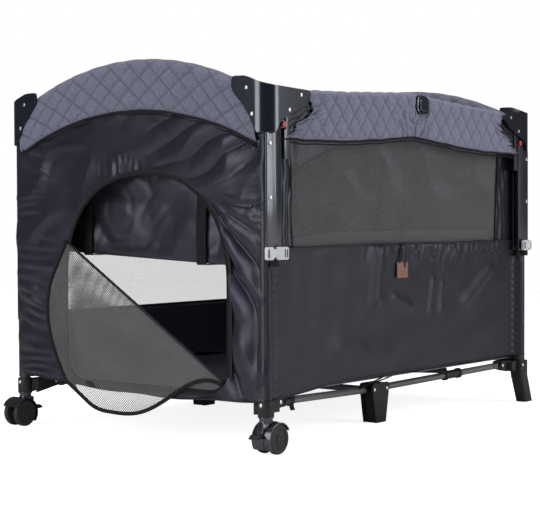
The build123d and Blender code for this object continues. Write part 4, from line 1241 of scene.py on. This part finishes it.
# the whole floor cloth is marked inner, so all of it takes the painted inside light
markPoints(floorCloth, "inner", np.ones(len(floorCloth.data.vertices)))

trayRun = [inside["crown"] - inside["trayZ"], 2 * inside["trayX"], inside["crown"] - inside["trayZ"]]
trayStops = np.cumsum([0] + trayRun) / sum(trayRun)


def trayPoint(u, v):
    # one long strip: down the doorway end, along the base and up the far end
    x = np.interp(u, trayStops, [-inside["trayX"], -inside["trayX"], inside["trayX"], inside["trayX"]])
    z = np.interp(u, trayStops, [inside["crown"], inside["trayZ"], inside["trayZ"], inside["crown"]])
    narrow = ease((z - inside["shoulder"]) / (inside["crown"] - inside["shoulder"]))
    y = (v * 2 - 1) * (inside["trayY"] + (inside["hook"] - inside["trayY"]) * narrow)
    onWall = ease((z - inside["trayZ"]) / 0.03)
    fold = onWall * (9.0 * mm * crumpled(y, z, 0.24, 103) + 2.0 * mm * crumpled(y, z, 0.1, 105) + 7.0 * mm)
    sag = (1 - onWall) * 5.0 * mm * np.cos(math.pi * x / 1.1) * np.cos(math.pi * y / 0.8)
    hung = askew(x, y) * ease((inside["crown"] - z) / 0.2)
    return x - np.sign(x) * np.maximum(fold, 0), y, z - sag * 0.4 + hung


inner = [sewSheet("bassinetStrip", (300, 120), trayPoint, inside["thick"], satinTray, "door_end", "bassinet",
                  slot="bassinet_fabric", flat=(0.68, 1.62), held="hung",
                  rests_on=["door_arch_rail", "far_arch_rail"])]
for sideName, side in bothSides:

    def wallPoint(u, v):
        x = (u * 2 - 1) * inside["trayX"]
        z = inside["trayZ"] + (inside["sideZ"] - inside["trayZ"]) * v
        y = side * (inside["trayY"] - 1.2 * mm * waves(x, z, 0.1, 107) * v)
        return x, y, z + askew(x, side * inside["trayY"])

    name = f"bassinet{sideName.title()}"
    inner.append(sewSheet(name + "Wall", (120, 8), wallPoint, inside["thick"], trayPale, "door_end",
                          slot="bassinet_fabric", flat=(1.0, 0.06), held="hung", rests_on=["bassinetStrip"]))
    line = rimLine(wallPoint, 1, 100)
    inner.append(trim(name + "Trim", line, 2.2 * mm, bindingCloth, "door_end", "bassinet_fabric"))
for name, at in (("Door", 0.0), ("Far", 1.0)):
    line = rimLine(lambda v, u: trayPoint(u, v), at, 60)
    inner.append(trim(f"bassinet{name}Trim", line, 2.4 * mm, bindingCloth, "door_end", "bassinet_fabric"))

pad = {"x": 488 * mm, "y": 328 * mm, "low": 398 * mm, "high": 430 * mm, "panels": 4, "valley": 5 * mm,
       "edgeX": 22, "edgeY": 18}


def padFace(upper):
    def place(u, v):
        x, y = (u * 2 - 1) * pad["x"], (v * 2 - 1) * pad["y"]
        rimX, rimY = np.abs(u * 2 - 1), np.abs(v * 2 - 1)
        swell = (1 - rimX ** pad["edgeX"]) * (1 - rimY ** pad["edgeY"])
        panel = np.abs(np.sin(math.pi * pad["panels"] * u))
        middle = (pad["low"] + pad["high"]) / 2
        reach = (pad["high"] - pad["low"]) / 2
        crown = reach * np.maximum(swell, 0) ** 0.5
        valley = pad["valley"] * np.exp(-((panel / 0.16) ** 2)) * swell if upper else 0
        quilted = 0.4 * quilting(x, y)[0] * swell if upper else 0
        return x, y, middle + askew(x, y) + (crown - valley - 1.6 * mm + quilted if upper else -crown)

    return place


faces = [gridSheet("padFace", 170, 110, padFace(upper)) for upper in (True, False)]
mattress = joinPieces("mattressPad", faces)
closeMesh(mattress, 0.2 * mm)
bpy.ops.object.shade_smooth()
wear(mattress, padCloth, "door_end", "mattress_fabric", "mattress")
inner.append(mattress)

# bed straps: webbing down the outside of the bassinet's end walls and under its base
straps = {"width": 27 * mm, "thick": 1.6 * mm, "spots": (174 * mm, -169 * mm), "top": 545 * mm, "bend": 0.82,
          "under": 60 * mm}
for endName, end in bothEnds:
    for number, y in enumerate(straps["spots"]):

        def strapPath(t):
            bend, top = straps["bend"], straps["top"]
            x = end * (inside["trayX"] + 4.5 * mm - straps["under"] * ease((t - bend) / (1 - bend)))
            low = inside["trayZ"] - 4 * mm + askew(end * inside["trayX"], y)
            return x, y + 4 * mm * np.sin(3 * t), top - (top - low) * np.minimum(t / bend, 1)

        strap = ribbon(f"{endName}Strap{number}", strapPath, (0, 1, 0), straps["width"], straps["thick"], 30)
        wear(strap, webbingCloth, "door_end", "bassinet_fabric")
        inner.append(strap)
crumple(floorCloth, *inner)
print("bassinet and mattress laid")

# Hard parts: mouldings get their rounded edges, tubes and buttons keep the CAD surface
mouldings = (
    ("{end}_{side}_cap", capGloss, "cap_plastic", 2.0 * mm, "{end}_end"),
    ("door_{side}_bracket", grainedBlack, "bracket_plastic", 1.5 * mm, "door_end"),
    ("far_{side}_foot", grainedBlack, "bracket_plastic", 1.8 * mm, "far_end"),
    ("door_{side}_caster", casterGloss, "caster_plastic", 1.4 * mm, "door_{side}_caster"),
    ("door_{side}_brake", grainedBlack, "caster_plastic", 1.0 * mm, "door_{side}_brake"),
    ("{side}_latch", capGloss, "cap_plastic", 1.4 * mm, "{side}_latch"),
    ("centre_feet", grainedBlack, "bracket_plastic", 1.8 * mm, "centre"),
    ("door_drop_track", trackGloss, "track_plastic", 1.2 * mm, "door_end"),
    # the far track and the sliders take the darker track finish, which is painted shade
    ("far_drop_track", trackShaded, "track_plastic", 1.2 * mm, "far_end"),
    ("{end}_drop_slider", trackShaded, "track_plastic", 0.8 * mm, "drop_{end}_slider"),
    ("{end}_buckle", buckleWhite, "buckle_plastic", 0.8 * mm, "{end}_end"),
    ("{end}_rivets", rivetSteel, "rivet_steel", 0.7 * mm, "{end}_end"),
)
made = {}
for pattern, look, slot, width, body in mouldings:
    for end, _ in bothEnds:
        for side, _ in bothSides:
            node = pattern.format(end=end, side=side)
            if node not in made:
                made[node] = roundedCopy(node, width)
                wear(made[node], look, body.format(end=end, side=side), slot, node)
plainFinish = {"post": tubeBlack, "rail": tubeBlack, "floor_tubes": tubeGrey, "centre_bar": tubeGrey,
               "latch_button": capGloss, "release": releaseRed}
for node, obj in nodes.items():
    for ending, look in plainFinish.items():
        if node.endswith(ending):
            obj.data.materials.clear()
            obj.data.materials.append(look)

# Polished skin of each corner cap: along the end wing, round the corner and along the side wing
capSkin = {"x": 552 * mm, "y": 388 * mm, "wingY": 294 * mm, "wingX": 409 * mm, "corner": 34 * mm,
           "round": 9 * mm, "soft": 5 * mm, "proud": 0.9 * mm, "thick": 1.3 * mm,
           "top": np.array([(0, 773), (35, 772), (57, 764), (73, 757.5), (87, 754), (100, 751.5),
                            (113, 750.6), (222, 747)]) * mm,
           "low": np.array([(0, 745), (26, 719), (44, 695), (55, 675), (62, 656), (107, 656), (116, 675),
                            (135, 687), (168, 700), (202, 714), (222, 731)]) * mm}
capRun = [capSkin["y"] - capSkin["corner"] - capSkin["wingY"], capSkin["corner"] * math.pi / 2,
          capSkin["x"] - capSkin["corner"] - capSkin["wingX"]]


def capPoint(end, side, u, v):
    at = u * sum(capRun)
    turn = np.clip((at - capRun[0]) / capRun[1], 0, 1) * math.pi / 2
    corner = capSkin["corner"] + capSkin["proud"]
    x = capSkin["x"] - capSkin["corner"] + corner * np.cos(turn) - np.maximum(at - capRun[0] - capRun[1], 0)
    y = capSkin["y"] - capSkin["corner"] + corner * np.sin(turn) - np.maximum(capRun[0] - at, 0)
    inset = np.minimum(np.minimum(at, sum(capRun) - at) / capSkin["round"], 1)
    inset = capSkin["round"] * (1 - np.sqrt(1 - (1 - inset) ** 2))
    low = softly(at, capSkin["low"], capSkin["soft"]) - 0.6 * mm + inset
    high = softly(at, capSkin["top"], capSkin["soft"]) + 0.8 * mm - inset
    return end * x, side * y, low + (high - low) * v


for endName, end in bothEnds:
    for sideName, side in bothSides:
        name = f"{endName}{sideName.title()}CapSkin"
        skin = gridSheet(name, 150, 30, lambda u, v: capPoint(end, side, u, v))
        thicken(skin, capSkin["thick"])
        closeMesh(skin, 0.01 * mm)
        softenEdges(skin, 0.4 * mm)
        bpy.ops.object.shade_smooth_by_angle(angle=math.radians(40))
        wear(skin, capGloss, f"{endName}_end", "cap_plastic")
print("mouldings rounded:", len(made))

# Caster wheels: two discs with a tyre, a ring on the face and a hub
wheel = {"radius": 31 * mm, "inner": 10 * mm, "outer": 23 * mm, "axle": 3.5 * mm}
outer, near, rim = wheel["outer"], wheel["inner"], wheel["radius"]
discProfile = [(outer - 1.2 * mm, 0), (outer - 1.2 * mm, 6 * mm), (outer - 0.2 * mm, 7 * mm),
               (outer - 0.2 * mm, 9 * mm), (outer - 2.2 * mm, 10 * mm), (outer - 2.6 * mm, 20 * mm),
               (outer - 1.0 * mm, 21.5 * mm), (outer, 23 * mm), (outer, rim - 4 * mm),
               (outer - 1.2 * mm, rim - 1.2 * mm), (outer - 3.5 * mm, rim), (near + 2.5 * mm, rim),
               (near + 0.6 * mm, rim - 1.4 * mm), (near, rim - 4 * mm), (near, 0)]
half = wheel["inner"] + 1 * mm
axleProfile = [(-half, 0), (-half, wheel["axle"]), (half, wheel["axle"]), (half, 0)]
ringProfile = np.array([(0, 7), (0, 11.5), (1.6, 12), (2.6, 11.4), (2.6, 7), (0, 7)]) * mm
for side, way in bothSides:
    body = f"door_{side}_wheels"
    middle = boxMiddle(body)
    discs = [lathe("wheelDisc", discProfile, middle, (0, facing, 0)) for facing in (-1, 1)]
    discs.append(lathe("wheelAxle", axleProfile, middle, (0, 1, 0), 24))
    wear(joinPieces(f"{side}WheelPair", discs), treadBlack, body, "wheel_plastic", body)
    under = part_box(f"door_{side}_bracket")[0].z - ringProfile[:, 0].max()
    ring = lathe(f"{side}CasterRing", ringProfile, (-postX, way * postY, under), (0, 0, 1), 40)
    wear(ring, rivetSteel, "door_end", "rivet_steel")
print("wheels turned")

# Small goods: pin heads, clips and ties on the floor tubes, the blank tag and the buckles' webbing
rivet = {"radius": 4.2 * mm, "rise": 1.6 * mm}


def rivetHead(name, spot, facing):
    r, h = rivet["radius"], rivet["rise"]
    profile = [(-0.4 * mm, 0), (-0.4 * mm, r), (h * 0.4, r), (h * 0.8, r * 0.72), (h, r * 0.3), (h, 0)]
    return lathe(name, profile, spot, facing, 24)


floorPin = {"x": 466 * mm, "z": 100 * mm, "inner": 324.8 * mm, "outer": 351.2 * mm, "centre": 26 * mm,
            "centreZ": 79 * mm}
for endName, end in bothEnds:
    for side, way in bothSides:
        heads = [rivetHead("pinHead", (end * floorPin["x"], way * y, floorPin["z"]), (0, facing * way, 0))
                 for y, facing in ((floorPin["outer"], 1), (floorPin["inner"], -1))]
        if end < 0:
            low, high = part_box(f"door_{side}_bracket")
            heads.append(rivetHead("sleeveRivet", (low.x, way * postY, high.z - 9 * mm), (-1, 0, 0)))
        else:
            low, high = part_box(f"far_{side}_foot")
            spot = (postX - 10 * mm, low.y if way < 0 else high.y, high.z - 12 * mm)
            heads.append(rivetHead("sleeveRivet", spot, (0, way, 0)))
        pins = joinPieces(f"{endName}{side.title()}PinHeads", heads)
        wear(pins, rivetSteel, f"{endName}_end", "rivet_steel")
low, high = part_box("centre_feet")
heads = [rivetHead("footRivet", (x, way * high.y, floorPin["centreZ"]), (0, way, 0))
         for way in (-1, 1) for x in (-floorPin["centre"], floorPin["centre"])]
wear(joinPieces("centreFeetRivets", heads), rivetSteel, "centre", "rivet_steel")

# black clips on the floor tubes, and the webbing that ties the cloth down to them
clip = {"start": (466 * mm, 338 * mm, 100 * mm), "finish": (26 * mm, 262 * mm, 78 * mm), "bore": 8.05 * mm,
        "radius": 10.5 * mm, "lip": 12.5 * mm}
for endName, end, first, last in (("door", -1, 0.045, 0.14), ("far", 1, 0.35, 0.48)):
    for sideName, way in bothSides:
        turnOut = np.array((end, way, 1))
        start, finish = np.array(clip["start"]) * turnOut, np.array(clip["finish"]) * turnOut
        run = finish - start
        ahead = run / np.linalg.norm(run)
        length = np.linalg.norm(run) * (last - first)
        bore, radius, lip = clip["bore"], clip["radius"], clip["lip"]
        profile = [(0, bore), (0, lip), (9 * mm, lip), (10 * mm, radius), (length - 10 * mm, radius),
                   (length - 9 * mm, lip), (length, lip), (length, bore), (0, bore)]
        grip = lathe(f"{endName}{sideName.title()}Clip", profile, start + run * first, ahead, 40)
        wear(grip, grainedBlack, f"{endName}_floor", "bracket_plastic")
ties = {"width": 15 * mm, "thick": 1.6 * mm, "y": 352 * mm, "top": 127 * mm, "drop": 52 * mm,
        # where along the side, and how far it runs on
        "spots": ((-0.085, 0.02), (-0.045, 0.014), (-0.43, 0.03))}
tubeLine = list(zip(clip["finish"], clip["start"]))
for sideName, way in bothSides:
    loops = []
    for x, onward in ties["spots"]:
        tubeY = way * np.interp(-x, tubeLine[0], tubeLine[1])

        def tiePath(t):
            y = way * ties["y"] + (tubeY - way * ties["y"]) * ease(t * 1.1)
            return x + onward * t, y, ties["top"] - ties["drop"] * t

        loops.append(ribbon("tie", tiePath, (1, 0, 0), ties["width"], ties["thick"], 16))

    def longTie(t):
        return 0.05 + 0.21 * t, way * (0.345 - 0.036 * t), 0.124 - 0.022 * t

    loops.append(ribbon("tie", longTie, (0, -way * 0.5, 1), ties["width"], ties["thick"], 20))
    tied = joinPieces(f"{sideName}Ties", loops)
    wear(tied, webbingCloth, "door_end", "satin_fabric")
    crumple(tied)

tag = {"x": -22 * mm, "top": 381 * mm, "wide": 45 * mm, "tall": 37 * mm, "thick": 1.8 * mm, "y": 361.5 * mm,
       "loopSpread": 13 * mm, "loopTaper": 9 * mm, "loopTall": 45 * mm, "loopWide": 6 * mm,
       "loopThick": 1.2 * mm}
clearSelection()
bpy.ops.mesh.primitive_cube_add(size=1, location=(tag["x"], -tag["y"], tag["top"] - tag["tall"] / 2))
label = bpy.context.object
label.scale = (tag["wide"], tag["thick"], tag["tall"])
bpy.ops.object.transform_apply(location=True, rotation=True, scale=True)
label.name = label.data.name = "blankTag"
softenEdges(label, 0.7 * mm, 3)
activate(label)
bpy.ops.object.shade_smooth_by_angle(angle=math.radians(40))
wear(label, tagHide, "door_end", "satin_fabric")
loops = []
for way in (-1, 1):

    def loopPath(t):
        x = tag["x"] + way * (tag["loopSpread"] - tag["loopTaper"] * t)
        return x, -tag["y"] - 0.6 * mm, tag["top"] - 3 * mm + tag["loopTall"] * t

    loops.append(ribbon("tagLoop", loopPath, (1, 0, 0), tag["loopWide"], tag["loopThick"], 12))
loop = joinPieces("tagLoops", loops)
wear(loop, webbingCloth, "door_end", "satin_fabric")
crumple(label, loop)

# each buckle hangs from a strap that comes round the post; dark slots show its webbing
buckle = {"lean": math.radians(10), "slotTall": 17 * mm, "slotProud": 3.9 * mm, "slotThick": 0.8 * mm,
          "slots": ((25 * mm, 3.0 * mm), (-19 * mm, 2.4 * mm), (-25 * mm, 2.4 * mm)),  # place, width
          "tailFrom": -10 * mm, "tailLong": 17 * mm, "tailDeep": 3.5 * mm, "tailWide": 22 * mm,
          "tailThick": 1.6 * mm}
for endName, end in bothEnds:
    middle = boxMiddle(f"{endName}_buckle")

    def onBuckle(along, up, out):
        # a point on the buckle's face, turned as it hangs
        return (middle.x + end * along * math.cos(buckle["lean"]),
                middle.y - out + along * math.sin(buckle["lean"]), middle.z + up)

    def slotPath(t):
        return onBuckle(at, (t - 0.5) * buckle["slotTall"], buckle["slotProud"])

    def tailPath(t):
        up = buckle["tailFrom"] - buckle["tailLong"] * t
        return onBuckle(2 * mm * np.sin(3 * t), up, -buckle["tailDeep"])

    bits = []
    for at, wide in buckle["slots"]:
        bits.append(ribbon("slot", slotPath, (1, 0, 0), wide, buckle["slotThick"], 6))
    bits.append(ribbon("tail", tailPath, (1, 0, 0), buckle["tailWide"], buckle["tailThick"], 10))
    webbing = joinPieces(f"{endName}BuckleWebbing", bits)
    wear(webbing, webbingCloth, f"{endName}_end", "bassinet_fabric")
print("small goods added")

# Camera, light and floor
view = {"sensor": 36.0, "lens": 95.67, "spot": (-2.807, -2.186, 0.479), "turn": -51.5, "pitch": 90 - 1.34,
        "roll": -0.24}
clearSelection()
camera = addObject("camera", bpy.data.cameras.new("camera"))
camera.data.sensor_width = view["sensor"]
camera.data.lens = view["lens"]
camera.location = view["spot"]
turned = Matrix.Rotation(math.radians(view["turn"]), 4, "Z")
for angle, axis in ((view["pitch"], "X"), (view["roll"], "Z")):
    turned = turned @ Matrix.Rotation(math.radians(angle), 4, axis)
camera.rotation_euler = turned.to_euler()
bpy.context.scene.camera = camera


studio = {"white": (1, 1, 1, 1), "fill": 0.14, "glossyLess": -0.09, "glossySeen": 0.03,
          "floor": (0.9, 0.9, 0.9, 1), "glow": 0.85, "floorSize": 12, "floorZ": -0.2 * mm}
world = bpy.data.worlds.new("studio")
bpy.context.scene.world = world
sky = Backdrop(world)
glossy = sky.ray("Is Glossy Ray")
seen = sky.node("ShaderNodeBackground", {}, {"Color": studio["white"], "Strength": 1.0})
fill = glossy * studio["glossyLess"] + studio["fill"]
unseen = sky.node("ShaderNodeBackground", {}, {"Color": studio["white"], "Strength": fill})
either = glossy.join("MAXIMUM", sky.ray("Is Camera Ray"), sky.ray("Is Transmission Ray"))
mirrored = sky.node("ShaderNodeMath", {"operation": "ADD", "use_clamp": True},
                    {0: glossy * studio["glossySeen"], 1: either})
blend = sky.node("ShaderNodeMixShader", {}, {0: mirrored, 1: unseen, 2: seen})
sky.node("ShaderNodeOutputWorld", {}, {"Surface": blend})


def areaLight(name, spot, target, size, power):
    lamp = bpy.data.lights.new(name, "AREA")
    lamp.shape = "RECTANGLE"
    lamp.size, lamp.size_y = size
    lamp.energy = power
    obj = addObject(name, lamp)
    obj.location = spot
    obj.rotation_euler = (Vector(target) - Vector(spot)).to_track_quat("-Z", "Y").to_euler()


# place, target, size and power
lamps = {"topBox": ((-0.3, -0.3, 3.0), (0, 0, 0.4), (2.4, 2.0), 44),
         "endBox": ((-3.2, 0.4, 1.3), (-0.5, 0, 0.6), (1.6, 2.2), 42),
         "sideBox": ((1.3, -3.0, 1.3), (0, -0.3, 0.5), (1.6, 2.2), 40)}
for name, settings in lamps.items():
    areaLight(name, *settings)

bpy.ops.mesh.primitive_plane_add(size=studio["floorSize"], location=(0, 0, studio["floorZ"]))
ground = bpy.context.object
ground.name = ground.data.name = "ground"
pale = bpy.data.materials.new("paleFloor")
under = Backdrop(pale)
matte = under.node("ShaderNodeBsdfDiffuse", {}, {"Color": studio["floor"]})
glow = under.node("ShaderNodeEmission", {}, {"Color": studio["white"], "Strength": studio["glow"]})
both = under.node("ShaderNodeAddShader", {}, {0: matte, 1: glow})
shown = under.node("ShaderNodeMixShader", {}, {0: under.ray("Is Camera Ray"), 1: matte, 2: both})
under.node("ShaderNodeOutputMaterial", {}, {"Surface": shown})
ground.data.materials.append(pale)
ground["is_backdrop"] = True
bpy.context.scene.view_settings.view_transform = "Standard"
print("studio set")

low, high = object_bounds()
